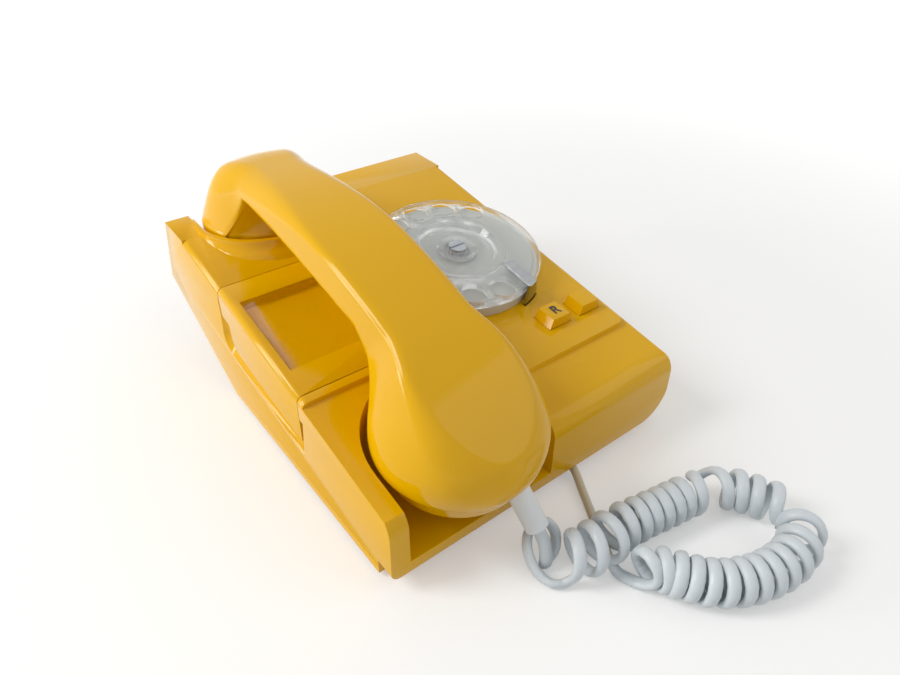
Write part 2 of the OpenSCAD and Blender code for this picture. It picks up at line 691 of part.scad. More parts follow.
finger_hole_bearings = [for (i = [0:9]) hole_first - i * hole_step];
module finger_wheel() color(clear) place() at_dial() difference() {
  rotate_extrude() polygon([[4.6, wheel_low + 0.2], [15, wheel_low + 0.2], [16, wheel_low],
    [wheel_r, wheel_low], [wheel_r, wheel_z - 0.6], [wheel_r - 0.6, wheel_z], [22.2, wheel_z],
    [21.6, wheel_z + 1.6], [18.6, wheel_z + 1.6], [16.6, wheel_low + 1.8], [4.6, wheel_low + 1.4]]);
  for (a = finger_hole_bearings) rotate([0, 0, 90 - a]) translate([hole_pcr, 0, wheel_low - 1])
    cylinder(r = hole_r, h = wheel_t + 2);
}
module wheel_centre_cap() color(clear) place() at_dial() rotate_extrude()
  polygon([[4.4, wheel_low + 1.7], [9.2, wheel_low + 1.7], [9.2, wheel_low + 2.2],
    [8.4, wheel_low + 3], [4.4, wheel_low + 3]]);
module hub_screw() color(steel) place() at_dial() difference() {
  translate([0, 0, wheel_low + 1.5]) cylinder(r = 3.9, h = 2.2);
  translate([-5, -0.5, wheel_low + 2.9]) cube([10, 1, 2]);
}
module main_shaft() color(steel) place() at_dial() {
  translate([0, 0, -dial_depth + 0.3]) cylinder(r = shaft_r, h = dial_depth + wheel_low + 1.2);
  translate([0, 0, plate_top - 0.4]) cylinder(r = 4.4, h = wheel_low - plate_top + 1.9);
}
module main_gear() color(brass) place() at_dial() translate([0, 0, gear_z]) difference() {
  linear_extrude(gear_t) polygon(gear_points(gear_m, gear_teeth, 90 - governor_a));
  translate([0, 0, -1]) cylinder(r = shaft_r, h = gear_t + 2);
}
module pulse_cam() color("#d8d2c0") place() at_dial() translate([0, 0, cam_z]) difference() {
  linear_extrude(3) polygon([for (i = [0:29])
    (i % 3 == 0 ? cam_r : cam_r - 1.6) * [cos(12 * i), sin(12 * i)]]);
  translate([0, 0, -1]) cylinder(r = shaft_r, h = 6);
}
module governor_shaft() color(steel) place() at_dial() at_governor() {
  translate([0, 0, -dial_depth + case_wall - 1]) cylinder(r = 1, h = dial_depth - case_wall + bridge_z + 2.4);
  translate([0, 0, gear_z - 0.2]) linear_extrude(gear_t + 0.4)
    polygon(gear_points(gear_m, pinion_teeth, 180 + 180 / pinion_teeth));
}
module governor_weights() color(brass) place() at_dial() at_governor()
  translate([0, 0, -dial_depth + case_wall + 2]) difference() {
    union() {
      translate([-6.4, -1.2, 1]) cube([12.8, 2.4, 1.2]);
      for (s = [0, 180]) rotate([0, 0, s]) translate([4.4, 0, 0]) cylinder(r = 2.4, h = 3.4);
    }
    translate([0, 0, -1]) cylinder(r = 1, h = 6);
  }

// ---- Index drawer -----------------------------------------------------------------

module index_tray() color(yellow) place() difference() {
  intersection() {
    union() {
      intersection() {
        on_top(-hw, 0) translate([-1, 0, -drawer_h]) cube([drawer_w + 1, far, drawer_h]);
        translate([-hw - 2, 0, 0]) cube([drawer_w + 2, drawer_len, far]);
      }
      intersection() {
        across(-hw - 2, -hw + panel_t) polygon(panel_outline(0));
        on_top(-hw, 0) translate([-5, -5, -far]) cube([20, far, far]);
      }
    }
    side_lean();
  }
  edge_rounding(-1);
  // window well, with a seat for the pane
  at_window() translate([0, 0, -pane_t]) cube([window_w, window_run, 10]);
  at_window() translate([pane_seat, pane_seat, -pane_t - card_space])
    cube([window_w - 2 * pane_seat, window_run - 2 * pane_seat, 10]);
}
window_run = window_len / cos(top_tilt);
pane_seat = 0.8;
pane_gap = 0.1;
module at_window() on_top(-hw + window_inset, window_y) children();
module index_window() color(clear) place() at_window() translate([pane_gap, pane_gap, -pane_t])
  cube([window_w - 2 * pane_gap, window_run - 2 * pane_gap, pane_t]);

// ---- Buttons ----------------------------------------------------------------------

stem = 2;
stem_len = 3;
key_wall = 1.5;
module button(x) color(yellow) place() at_button(x) {
  difference() {
    union() {
      translate([-button_w / 2, -button_l / 2, -button_skirt]) cube([button_w, button_l, button_skirt]);
      intersection() {
        translate([0, button_l / 2, 0]) rotate([90, 0, 0]) linear_extrude(button_l)
          polygon([[-button_w / 2, -e], [-button_top_w / 2, button_h], [button_top_w / 2, button_h],
            [button_w / 2, -e]]);
        translate([-button_w / 2, 0, 0]) rotate([90, 0, 90]) linear_extrude(button_w)
          polygon([[-button_l / 2, -e], [-button_l / 2 + 0.3, button_h], [button_l / 2 - 0.3, button_h],
            [button_l / 2, -e]]);
      }
    }
    translate([-button_w / 2 + key_wall, -button_l / 2 + key_wall, -button_skirt - 1])
      cube([button_w - 2 * key_wall, button_l - 2 * key_wall, button_skirt + 2]);
  }
  translate([-stem / 2, -stem / 2, -button_skirt - stem_len])
    cube([stem, stem, button_skirt + stem_len + 1 + e]);
}
module recall_button() button(button_a_x);
module second_button() button(button_b_x);
// Two key switches on a small board, which hangs from the top on two posts
switch_h = 8;
switch_top = button_skirt + button_travel + 0.4;
switch_low = switch_top + switch_h + 1;
stem_gap = 0.4;
module button_switches() color("#3f4245") place() {
  for (x = [button_a_x, button_b_x]) at_button(x) difference() {
    translate([-6.5, -5, -switch_top - switch_h]) cube([13, 10, switch_h]);
    translate([-stem / 2 - stem_gap, -stem / 2 - stem_gap, -switch_top - stem_len])
      cube([stem + 2 * stem_gap, stem + 2 * stem_gap, 20]);
  }
  on_plateau(button_a_x - 10, button_y) translate([0, -5, -switch_top - switch_h - 2])
    cube([button_b_x - button_a_x + 19, 12, 2]);
  for (x = [button_a_x - 10, button_b_x + 6.6]) on_top(x, button_y) translate([0, -4, -switch_low])
    cube([2.4, 4, switch_low - wall]);
}

// ---- Hook switch ------------------------------------------------------------------

plunger_r = 3.5;
ear_cap_z = ear_floor_z + seat;
plunger_top = ear_floor_z;
plunger_low = ear_floor_z - wall - 9;
lever_pivot = [ear_y - 19, 34];
lever_roll = 1.5;
lever_w = 5;
lever_pin_r = 1.5;
module hook_plunger() color("#2e2e2e") place() translate([hs_x, ear_y, plunger_low])
  cylinder(r = plunger_r, h = plunger_top - plunger_low);
module hook_lever() color(steel) place() translate([hs_x, 0, 0]) {
  roll_z = plunger_low - seat - lever_roll;
  y = lever_pivot[0];
  z = lever_pivot[1];
  across(-lever_w / 2, lever_w / 2) polygon([[y - 8, z - 1], [y - 8, z + 1], [y, z + 2.4],
    [ear_y, roll_z + 0.8], [ear_y, roll_z - 0.8], [y, z - 2.4]]);
  translate([-lever_w / 2, ear_y, roll_z]) rotate([0, 90, 0]) cylinder(r = lever_roll, h = lever_w);
  translate([-7, y, z]) rotate([0, 90, 0]) cylinder(r = lever_pin_r, h = 14);
}
module hook_bracket() color(steel) place() translate([hs_x, 0, 0]) {
  top = ear_floor_z - wall;
  difference() {
    union() {
      translate([-7, lever_pivot[0] - 6, top - 1.6]) cube([14, 12, 1.6]);
      for (s = [-1, 1]) translate([s * 5.8 - 0.8, lever_pivot[0] - 5, lever_pivot[1] - 4])
        cube([1.6, 10, top - lever_pivot[1] + 4]);
    }
    translate([-10, lever_pivot[0], lever_pivot[1]]) rotate([0, 90, 0])
      cylinder(r = lever_pin_r + running, h = 20);
  }
}
contact_z = 28.4;
module hook_contacts() color("#7d3b2e") place() translate([hs_x, lever_pivot[0] - 22, 0]) {
  translate([-6, -5, base_t]) cube([12, 8.6, contact_z - base_t]);
  for (i = [0:3]) color(brass) translate([-5 + 3 * i, -4, contact_z - e]) cube([1.6, 19, 0.4]);
}

// ---- Handset ----------------------------------------------------------------------

// Side outline of the handset in (y, z), k inside its outer faces
rear_arc_r = 45;
grip_r = 265;
fall_r = 110;
top_flat = [72, 90];
grip_end = -32;
function hs_top(k) = let (a1 = acos((grip_c[0] - grip_end) / grip_r), a2 = acos((fall_c[0] + 69) / fall_r))
  concat(arc(fall_c, fall_r - k, 180 - a2, 180 - a1, 8), arc(grip_c, grip_r - k, 180 - a1, 90, 12),
    arc([top_flat[1], hs_top_z - rear_arc_r], rear_arc_r - k, 90, 4, 14));

// Everything under the side outline; behind the grip the outline is turned about an upright axis
module under_top(k) {
  across(hs_x - 60, hs_x + 60) intersection() {
    polygon(concat(hs_top(k), [[ear_y + ear_r, 20], [-80, 10], [-80, 43]]));
    translate([-far, 0]) square([far + top_flat[0] + e, far]);
  }
  intersection() {
    translate([hs_x, top_flat[0], 0]) rotate_extrude() polygon(concat([[0, 20], [0, hs_top_z - k]],
      arc([top_flat[1] - top_flat[0], hs_top_z - rear_arc_r], rear_arc_r - k, 90, 0, 14),
      [[top_flat[1] - top_flat[0] + rear_arc_r - k, 20]]));
    translate([-far / 2, top_flat[0], 0]) cube([far, far, far]);
  }
}
module ear_drum(k) at_ear() rotate_extrude() polygon([[0, 56], [ear_r - k, 56], [ear_r - k, 66],
  [ear_r - 1 - k, 70], [ear_r - 2.9 - k, 76], [ear_r - 5.5 - k, 85], [ear_r - 8 - k, 92],
  [ear_r - 10 - k, hs_top_z + 1 - k], [0, hs_top_z + 1 - k]]);
module mouth_drum(k) at_mouth() rotate_extrude() polygon([[0, 0], [mouth_cap_r - k, 0],
  [mouth_r - 1.2 - k, 1.6], [mouth_r - 0.2 - k, 4.5], [mouth_r - k, 9], [mouth_r - 0.2 - k, 15], [0, 20]]);
// Height of the handset's top line
grip_c = [top_flat[0], hs_top_z - grip_r];
fall_c = grip_c + (grip_r - fall_r) / grip_r
  * [grip_end - grip_c[0], sqrt(grip_r * grip_r - pow(grip_end - grip_c[0], 2))];
function crown_z(y) = y > grip_end ? grip_c[1] + sqrt(grip_r * grip_r - pow(grip_c[0] - y, 2))
  : fall_c[1] + sqrt(fall_r * fall_r - pow(fall_c[0] - y, 2));
// The mouthpiece's shoulders run straight from the drum up to the edges of the top band
module mouth_dome(k) hull() {
  at_mouth() translate([0, 0, 12 - k]) cylinder(r = mouth_r - k, h = 0.01, $fn = 72);
  across(hs_x - grip_hw + k, hs_x + grip_hw - k)
    polygon(concat([[-8, 71.4 + k]], [for (y = [-8, -20, -32, -45, -56, -64]) [y, crown_z(y) - 0.4 - k]]));
}
grip_under = [[74, 86.6], [52, 84], [34, 80.8], [10, 75.6], [-8, 71.4]];
module grip_bar(k) across(hs_x - grip_hw + k, hs_x + grip_hw - k) polygon(concat([[-58, 45 + k],
  [-58, 140], [ear_y, 140], [ear_y, 60], [ear_y - 12, 64], [80, 86.9 + k]],
  [for (p = grip_under) p + [0, k]], [[-30, 50 + k]]));
module hs_form(k) intersection() {
  under_top(k);
  union() {
    ear_drum(k);
    mouth_drum(k);
    mouth_dome(k);
    grip_bar(k);
  }
}
// The underside piece: a strip under the grip and the front wall of the earpiece
under_hw = 14.5;
under_gap = 0.15;
strip_front = -2;
strip_line = [for (y = [74, 52, 34, 10, strip_front]) [y, grip_z(y)]];
module grip_strip(k) across(hs_x - under_hw - k, hs_x + under_hw + k) polygon(concat(
  [for (i = [4:-1:0]) strip_line[i] - [i == 4 ? k : 0, e]],
  [[ear_y - ear_r + 8, grip_z(74) - e], [ear_y - ear_r + 8, grip_z(74) + hs_wall + k]],
  [for (i = [0:4]) strip_line[i] + [i == 4 ? -k : 0, hs_wall + k]]));
module ear_front_zone(k) across(hs_x - 60, hs_x + 60)
  polygon([[88 + k, 89 + k], [95 + k, 65], [95 + k, 60.5 - k], [60, 60.5 - k], [60, 89 + k]]);
// Room for the sleeve of the cord
module sleeve_hole() aim(sleeve_root, sleeve_dir) translate([0, 0, -1]) cylinder(r = sleeve_d / 2, h = 12);

module handset_shell() color(yellow) place() difference() {
  hs_form(0);
  difference() {
    hs_form(hs_wall);
    for (y = hs_screw_y) translate([hs_x, y, 60]) cylinder(r = 4, h = 60);
  }
  grip_strip(under_gap);
  intersection() {
    ear_front_zone(under_gap);
    ear_drum(-1);
  }
  at_ear() translate([0, 0, 40]) cylinder(r = ear_r - hs_wall, h = 26);
  at_mouth() translate([0, 0, -1]) cylinder(r = mouth_cap_r - hs_wall, h = 10);
  for (y = hs_screw_y) translate([hs_x, y, 60]) cylinder(r = 1.2, h = grip_z(y) + 10 - 60);
  sleeve_hole();
}
module handset_underside() color(yellow) place() difference() {
  union() {
    grip_strip(0);
    intersection() {
      difference() {
        ear_drum(1);
        ear_drum(1 + hs_wall);
      }
      ear_front_zone(0);
    }
  }
  for (y = hs_screw_y) translate([hs_x, y, 60]) cylinder(r = 1.4, h = 40);
  for (y = hs_screw_y) translate([hs_x, y, 60]) cylinder(r = 2.6, h = grip_z(y) + 1.1 - 60);
}
hs_screw_y = [8, 58];
function grip_z(y) = lookup(y, grip_under);
module ear_cap() color(yellow) place() at_ear() difference() {
  rotate_extrude() polygon([[0, ear_cap_z], [20, ear_cap_z], [ear_r - 1.6, ear_cap_z + 1.2],
    [ear_r - 0.6, ear_cap_z + 3], [ear_r - 0.6, 56], [ear_r - hs_wall - 0.1, 56],
    [ear_r - hs_wall - 0.1, 60], [ear_r - 2 * hs_wall, 60], [ear_r - 2 * hs_wall, ear_cap_z + 3.4],
    [0, ear_cap_z + 2.4]]);
  for (a = [0:60:300]) rotate([0, 0, a]) translate([8, 0, 40]) cylinder(r = 1.1, h = 20);
}
module mouth_cap() color(yellow) place() difference() {
  at_mouth() difference() {
    rotate_extrude() polygon(concat([[0, -mouth_cap_h], [mouth_cap_r - 6, -mouth_cap_h]],
      arc([mouth_cap_r - 6, -mouth_cap_h + 4], 4, 270, 340, 5),
      [[mouth_cap_r, -0.1], [mouth_cap_r - hs_wall - 0.1, -0.1], [mouth_cap_r - hs_wall - 0.1, 4],
       [mouth_cap_r - 2 * hs_wall, 4], [mouth_cap_r - 2 * hs_wall - 1, -mouth_cap_h + 5],
       [mouth_cap_r - 8, -mouth_cap_h + hs_wall], [0, -mouth_cap_h + hs_wall]]));
    for (a = [0:60:300]) rotate([0, 0, a]) translate([9, 0, -mouth_cap_h - 2]) cylinder(r = 1.1, h = 6);
  }
  sleeve_hole();
}
module receiver_capsule() color("#4a4d50") place() at_ear() translate([0, 0, 60 + seat]) {
  cylinder(r = ear_r - hs_wall - 1.2, h = 4);
  cylinder(r = 17, h = 11);
}
module transmitter_capsule() color("#4a4d50") place() at_mouth() translate([0, 0, 4 + seat]) {
  cylinder(r = mouth_cap_r - hs_wall - 1.2, h = 4);
  cylinder(r = 17, h = 12);
}
module handset_screws() color(steel) place() for (y = hs_screw_y) translate([hs_x, y, grip_z(y)]) {
  cylinder(r = 2.4, h = 1);
  cylinder(r = 1.15, h = 9);
}

sleeve_root = [-25.2, -66.7, 30.6];
sleeve_dir = [0.13, -0.58, -0.80];
// A frame at p with its z along d
module aim(p, d) translate(p) rotate([0, acos(d[2] / norm(d)), atan2(d[1], d[0])]) children();
module cord_sleeve() color("#dfe3e4") place() aim(sleeve_root, sleeve_dir)
  cylinder(r = sleeve_d / 2 - 0.05, h = sleeve_len);

// ---- Cord -------------------------------------------------------------------------

table = -foot_h;
tail_handset_route = [[-22.5, -79.2, 13.4], [-22.5, -82.5, 8.6], [-24.2, -85.2, 4.6],
  [-26, -87.4, 1.8], [-25.6, -89.2, 0.9], [-22.5, -90, 0.6], [-16.5, -91.2, 0.6]];
coil_route = [[-18.9, -91.2], [-12.6, -93.4], [-5.5, -94.4], [4.1, -93.8], [15.2, -95.1],
  [24.3, -96.9], [34.2, -98.6], [43.6, -100.9], [51.4, -104.8], [56.2, -110.8], [59.2, -117.6],
  [61.3, -123.6], [61.2, -129.8], [56.7, -135.2], [47.1, -138.6], [37.8, -138.8], [28, -136.8],
  [20.4, -133.6], [14.9, -129.9], [10.4, -125.1], [6.7, -119.7], [3, -114.2], [-2.4, -109.2]];
tail_body_route = [[-2.4, -109.2, 0], [-4.4, -106.6, 0], [-5, -103.2, 0], [-4, -99.6, 0],
  [-2.4, -96.6, 0], [-0.6, -93.5, 0], [2.4, -87, 0], [7.2, -79.2, 0], [12.8, -69, 0.3],
  [16.8, -61, 1.5], [17.5, -57, 2.2], [17.5, -54, 2.2], [17.5, -51, 2.2]];

// Catmull-Rom curve through a list of points, n steps to a span
function spline(p, n) = let (m = len(p)) concat([for (i = [0:m - 2]) for (j = [0:n - 1]) let (t = j / n,
    a = p[max(i - 1, 0)], b = p[i], c = p[i + 1], d = p[min(i + 2, m - 1)])
  0.5 * (2 * b + (c - a) * t + (2 * a - 5 * b + 4 * c - d) * pow(t, 2)
    + (3 * b - a - 3 * c + d) * pow(t, 3))], [p[m - 1]]);
function unit(v) = v / norm(v);
// A round tube along a list of points
module tube(p, r, n) {
  m = len(p);
  rings = [for (i = [0:m - 1]) let (t = unit(p[min(i + 1, m - 1)] - p[max(i - 1, 0)]),
      s = unit(cross(t, abs(t[2]) > 0.95 ? [0, 1, 0] : [0, 0, 1])), u = cross(s, t))
    for (j = [0:n - 1]) p[i] + r * (s * cos(360 * j / n) + u * sin(360 * j / n))];
  polyhedron(rings, concat([[for (j = [0:n - 1]) j]],
    [for (i = [0:m - 2]) for (j = [0:n - 1])
      [i * n + j, i * n + n + j, i * n + n + (j + 1) % n, i * n + (j + 1) % n]],
    [[for (j = [n - 1:-1:0]) (m - 1) * n + j]]));
}
module cord_tail_handset() color(cord_grey) place() tube(spline(tail_handset_route, 3), cord_w / 2, 8);
module cord_coil() color(cord_grey) place()
  tube(spline([for (p = coil_route) [p[0], p[1], table + coil_d / 2]], 2), coil_d / 2, 12);
module cord_tail_body() color("#cfc7b2") place()
  tube(spline([for (p = tail_body_route) [p[0], p[1], p[2] + table + tail_d / 2]], 2), tail_d / 2, 8);

top_housing();
base_plate();
rubber_feet();
housing_screws();
line_cord_inlet();
handset_cord_gland();
circuit_board();
induction_coil();
ringing_capacitor();
terminal_block();
ringer_bracket();
ringer_coils();
gong_left();
gong_right();
gong_screws();
bell_clapper();
dial_case();
number_plate();
finger_stop();
dial_bridge();
pulse_contacts();
mainspring();
governor_cup();
finger_wheel();
wheel_centre_cap();
hub_screw();
main_shaft();
main_gear();
pulse_cam();
governor_shaft();
governor_weights();
index_tray();
index_window();
recall_button();
second_button();
button_switches();
hook_plunger();
hook_lever();
hook_bracket();
hook_contacts();
handset_shell();
handset_underside();
ear_cap();
mouth_cap();
receiver_capsule();
transmitter_capsule();
handset_screws();
cord_sleeve();
cord_tail_handset();
cord_coil();
cord_tail_body();
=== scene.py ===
# %% [markdown]
# # A desk telephone with a finger-wheel dial
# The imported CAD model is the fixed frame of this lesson: it says how large everything is and
# where it goes. Each cell dresses one piece of it. Shapes are worked out in the telephone's
# own millimetres, where y = 0 is the front seam of the index drawer and z = 0 the lower edge
# of the base plate, and one function moves them into the shared frame in metres.

# %% Load the frame
import json
import math

import bpy
import bmesh
import numpy as np
from mathutils import Matrix, Vector


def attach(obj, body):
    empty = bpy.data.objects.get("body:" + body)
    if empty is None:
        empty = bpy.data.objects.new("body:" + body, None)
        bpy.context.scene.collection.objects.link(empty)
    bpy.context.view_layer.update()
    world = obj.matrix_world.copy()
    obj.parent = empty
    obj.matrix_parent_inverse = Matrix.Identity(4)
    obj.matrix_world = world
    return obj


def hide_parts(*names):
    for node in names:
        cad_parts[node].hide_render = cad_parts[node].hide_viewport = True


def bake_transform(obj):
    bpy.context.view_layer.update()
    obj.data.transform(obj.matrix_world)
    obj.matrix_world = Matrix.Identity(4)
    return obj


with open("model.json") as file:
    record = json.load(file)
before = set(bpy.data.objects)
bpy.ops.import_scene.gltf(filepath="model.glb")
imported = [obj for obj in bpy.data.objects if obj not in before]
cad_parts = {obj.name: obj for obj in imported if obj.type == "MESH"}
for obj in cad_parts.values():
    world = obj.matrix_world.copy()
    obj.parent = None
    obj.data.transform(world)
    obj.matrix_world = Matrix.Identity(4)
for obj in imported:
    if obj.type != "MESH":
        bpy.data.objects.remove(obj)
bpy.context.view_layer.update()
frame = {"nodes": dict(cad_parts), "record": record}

MM = 0.001
MID_Y = 29.7
FOOT_H = 2.0


def placed(points):
    """Body millimetres to the frame's metres: back by MID_Y, up by FOOT_H."""
    return (np.asarray(points, float) + [0.0, -MID_Y, FOOT_H]) * MM


def smoothstep(low, high, x):
    """0 below low, 1 above high, and the curve 3t^2 - 2t^3 between them."""
    t = np.clip((x - low) / (high - low), 0.0, 1.0)
    return t * t * (3.0 - 2.0 * t)


# %% [markdown]
# ## Camera
# The view is a hand-held close view from the telephone's front left corner, looking down at
# 36 degrees with a 27.5 mm lens. Heading, pitch and roll are turned into the camera's own
# axes, which is easier to check than Euler angles.

# %% Camera
CAMERA_AT = Vector((-0.14241, -0.21466, 0.21316))
HEADING, PITCH, ROLL = (math.radians(a) for a in (37.464, 36.059, -0.127))
FOCAL_PX, FRAME_PX = 687.9, 900
SENSOR_MM = 36.0
forward = Vector((math.sin(HEADING) * math.cos(PITCH), math.cos(HEADING) * math.cos(PITCH),
                  -math.sin(PITCH)))
level = Vector((math.cos(HEADING), -math.sin(HEADING), 0.0))
over = level.cross(forward)
right = math.cos(ROLL) * level + math.sin(ROLL) * over
above = math.cos(ROLL) * over - math.sin(ROLL) * level
camera_data = bpy.data.cameras.new("camera")
camera_data.sensor_width = SENSOR_MM
camera_data.lens = FOCAL_PX / FRAME_PX * SENSOR_MM
camera_data.clip_start = 0.01
camera = bpy.data.objects.new("camera", camera_data)
camera_axes = Matrix((right, above, -forward)).transposed().to_4x4()
camera.matrix_world = Matrix.Translation(CAMERA_AT) @ camera_axes
scene = bpy.context.scene
scene.collection.objects.link(camera)
scene.camera = camera
scene.view_settings.view_transform = "Standard"
print("lens", round(camera_data.lens, 2), "mm")


# %% [markdown]
# ## Materials are graphs
# Every finish is a Principled shader with a few nodes in front of it. One function adds a
# node with its settings and its links, another turns the hex colours, which are written as
# they look on a screen, into the linear numbers that the renderer works with. A Mix node has a
# socket for every kind of value, so its colour sockets are found by their numbers.

# %% Node helpers
MIX_FACTOR, MIX_A, MIX_B, MIX_RESULT = 0, 6, 7, 2


def linear(code):
    """sRGB hex to linear RGBA: c/12.92 up to 0.04045, ((c + 0.055)/1.055)^2.4 above, alpha 1."""
    parts = [int(code[i:i + 2], 16) / 255 for i in (1, 3, 5)]
    return [c / 12.92 if c <= 0.04045 else ((c + 0.055) / 1.055) ** 2.4 for c in parts] + [1.0]


def add_node(tree, kind, settings=None, inputs=None):
    """Adds a node; settings are its properties, inputs are values or sockets to link."""
    node = tree.nodes.new(kind)
    for name, value in (settings or {}).items():
        setattr(node, name, value)
    for key, value in (inputs or {}).items():
        if isinstance(value, bpy.types.NodeSocket):
            tree.links.new(value, node.inputs[key])
        else:
            node.inputs[key].default_value = value
    return node


def new_material(name, **values):
    """An empty material with one Principled shader, its uniform values set on its sockets."""
    material = bpy.data.materials.new(name)
    material.use_nodes = True
    tree = material.node_tree
    tree.nodes.clear()
    shader = add_node(tree, "ShaderNodeBsdfPrincipled", inputs=values)
    add_node(tree, "ShaderNodeOutputMaterial", inputs={"Surface": shader.outputs["BSDF"]})
    return material, tree, shader


print("nodes are added by one helper; the Mix node's colour sockets are", MIX_A, "and", MIX_B)

# %% [markdown]
# ### Three kinds of material
# Noise textures read Object coordinates in metres, so a scale of 60 repeats every 17 mm. Bump
# distances are metres too: a moulding's waves are 0.04 mm deep, acrylic's ripple half of that.

# %% Kinds of material
WAVE_DEPTH, RIPPLE_DEPTH = 0.00004, 0.00002


def moulded_plastic(name, dark, light, roughness, gloss=0.5, ior=1.52):
    """Colour drifts over 110 mm, the surface is wavy over 17 mm, and the gloss is a little uneven."""
    material, tree, shader = new_material(name, IOR=ior, **{"Specular IOR Level": gloss})
    at = add_node(tree, "ShaderNodeTexCoord").outputs["Object"]
    drift = add_node(tree, "ShaderNodeTexNoise", inputs={"Vector": at, "Scale": 9.0, "Detail": 3.0})
    tint = add_node(tree, "ShaderNodeMix", {"data_type": "RGBA"}, {
        MIX_FACTOR: drift.outputs["Fac"], MIX_A: linear(dark), MIX_B: linear(light)})
    smudge = add_node(tree, "ShaderNodeTexNoise", inputs={"Vector": at, "Scale": 45.0, "Detail": 4.0})
    rough = add_node(tree, "ShaderNodeMapRange", inputs={
        "Value": smudge.outputs["Fac"], "From Min": 0.3, "From Max": 0.7,
        "To Min": roughness * 0.8, "To Max": roughness * 1.25})
    waves = add_node(tree, "ShaderNodeTexNoise", inputs={"Vector": at, "Scale": 60.0, "Detail": 2.0})
    bump = add_node(tree, "ShaderNodeBump", inputs={
        "Height": waves.outputs["Fac"], "Distance": WAVE_DEPTH, "Strength": 0.35})
    tree.links.new(tint.outputs[MIX_RESULT], shader.inputs["Base Color"])
    tree.links.new(rough.outputs["Result"], shader.inputs["Roughness"])
    tree.links.new(bump.outputs["Normal"], shader.inputs["Normal"])
    return material


def plated_metal(name, dark, light, roughness, streak):
    """Fine brushing: a noise stretched along the frame's x, 1 mm across the lines."""
    material, tree, shader = new_material(name, Metallic=1.0, Roughness=roughness)
    at = add_node(tree, "ShaderNodeTexCoord").outputs["Object"]
    run = add_node(tree, "ShaderNodeMapping", inputs={
        "Vector": at, "Scale": (60.0, 900.0, 900.0)}).outputs["Vector"]
    lines = add_node(tree, "ShaderNodeTexNoise", inputs={"Vector": run, "Scale": 1.0, "Detail": 3.0})
    tint = add_node(tree, "ShaderNodeMix", {"data_type": "RGBA"}, {
        MIX_FACTOR: lines.outputs["Fac"], MIX_A: linear(dark), MIX_B: linear(light)})
    bump = add_node(tree, "ShaderNodeBump", inputs={
        "Height": lines.outputs["Fac"], "Distance": streak, "Strength": 0.3})
    tree.links.new(tint.outputs[MIX_RESULT], shader.inputs["Base Color"])
    tree.links.new(bump.outputs["Normal"], shader.inputs["Normal"])
    return material


def clear_plastic(name, tint, roughness, opacity, body, gloss=0.5):
    """Polished acrylic: its gloss over a see-through body that keeps a little haze."""
    material, tree, shader = new_material(name, IOR=1.49, Roughness=roughness, **{
        "Transmission Weight": body, "Alpha": opacity, "Base Color": linear(tint),
        "Specular IOR Level": gloss})
    at = add_node(tree, "ShaderNodeTexCoord").outputs["Object"]
    ripple = add_node(tree, "ShaderNodeTexNoise", inputs={"Vector": at, "Scale": 150.0, "Detail": 2.0})
    bump = add_node(tree, "ShaderNodeBump", inputs={
        "Height": ripple.outputs["Fac"], "Distance": RIPPLE_DEPTH, "Strength": 0.25})
    tree.links.new(bump.outputs["Normal"], shader.inputs["Normal"])
    return material


print("moulded plastic, plated metal and clear plastic are ready to be given colours")

# %% [markdown]
# ### The finishes
# The housing is ABS moulded in a polished tool: saturated yellow all the way through, a
# clear gloss, and the faint waviness that cooling leaves. Age adds a broad drift of colour.
# The cords are plasticised PVC, softer and duller. The dial is grey ABS under clear acrylic,
# whose gloss and slight haze are what shows that it is there. The finger stop and the hub
# screw are steel; most of the other metals and the darker plastics are inside.

# %% Finishes
housing_abs = moulded_plastic("moulded ABS, mustard yellow", "#dda600", "#eab400", 0.08, 0.4, ior=1.36)
dial_grey = moulded_plastic("moulded ABS, dial grey", "#bdbfba", "#c8cac5", 0.35)
cord_pvc = moulded_plastic("plasticised PVC, light blue-grey", "#ccd4d9", "#dbe2e6", 0.38)
tail_pvc = moulded_plastic("plasticised PVC, cream", "#cbc4ae", "#d6cfba", 0.4)
sleeve_pvc = moulded_plastic("moulded PVC, off-white", "#dfe3e5", "#eaedee", 0.42)
dark_plastic = moulded_plastic("moulded nylon, black", "#232323", "#2e2e2e", 0.45)
brown_plastic = moulded_plastic("phenolic, brown", "#5c3424", "#6d4030", 0.4)
board_laminate = moulded_plastic("phenolic board", "#75562b", "#846236", 0.5)
dipped_film = moulded_plastic("dipped film capacitor", "#963828", "#a8432f", 0.3)
cam_nylon = moulded_plastic("natural nylon", "#d3cdbc", "#dfdacb", 0.4)
capsule_plastic = moulded_plastic("capsule plastic", "#45484b", "#505356", 0.45)
soft_rubber = moulded_plastic("rubber, black", "#191919", "#242424", 0.75)
winding = moulded_plastic("lacquered copper winding", "#7a3f22", "#94502e", 0.35)
laminations = moulded_plastic("varnished laminations", "#5f6366", "#72767a", 0.5)
clear_acrylic = clear_plastic("clear acrylic", "#f2f4f2", 0.02, 0.72, 0.94)
window_acrylic = clear_plastic("window acrylic", "#f6f0dc", 0.04, 0.10, 1.0, 0.15)
polished_steel = plated_metal("polished steel", "#96999b", "#b4b6b8", 0.16, 0.000004)
zinc_steel = plated_metal("zinc plated steel", "#9ea2a6", "#b9bdc1", 0.32, 0.00001)
blued_steel = plated_metal("blued spring steel", "#4a4e53", "#63686d", 0.35, 0.00001)
gear_brass = plated_metal("satin brass", "#b98f4a", "#cba560", 0.3, 0.00001)
gong_brass = plated_metal("spun brass", "#c39a50", "#d4ae66", 0.22, 0.00001)
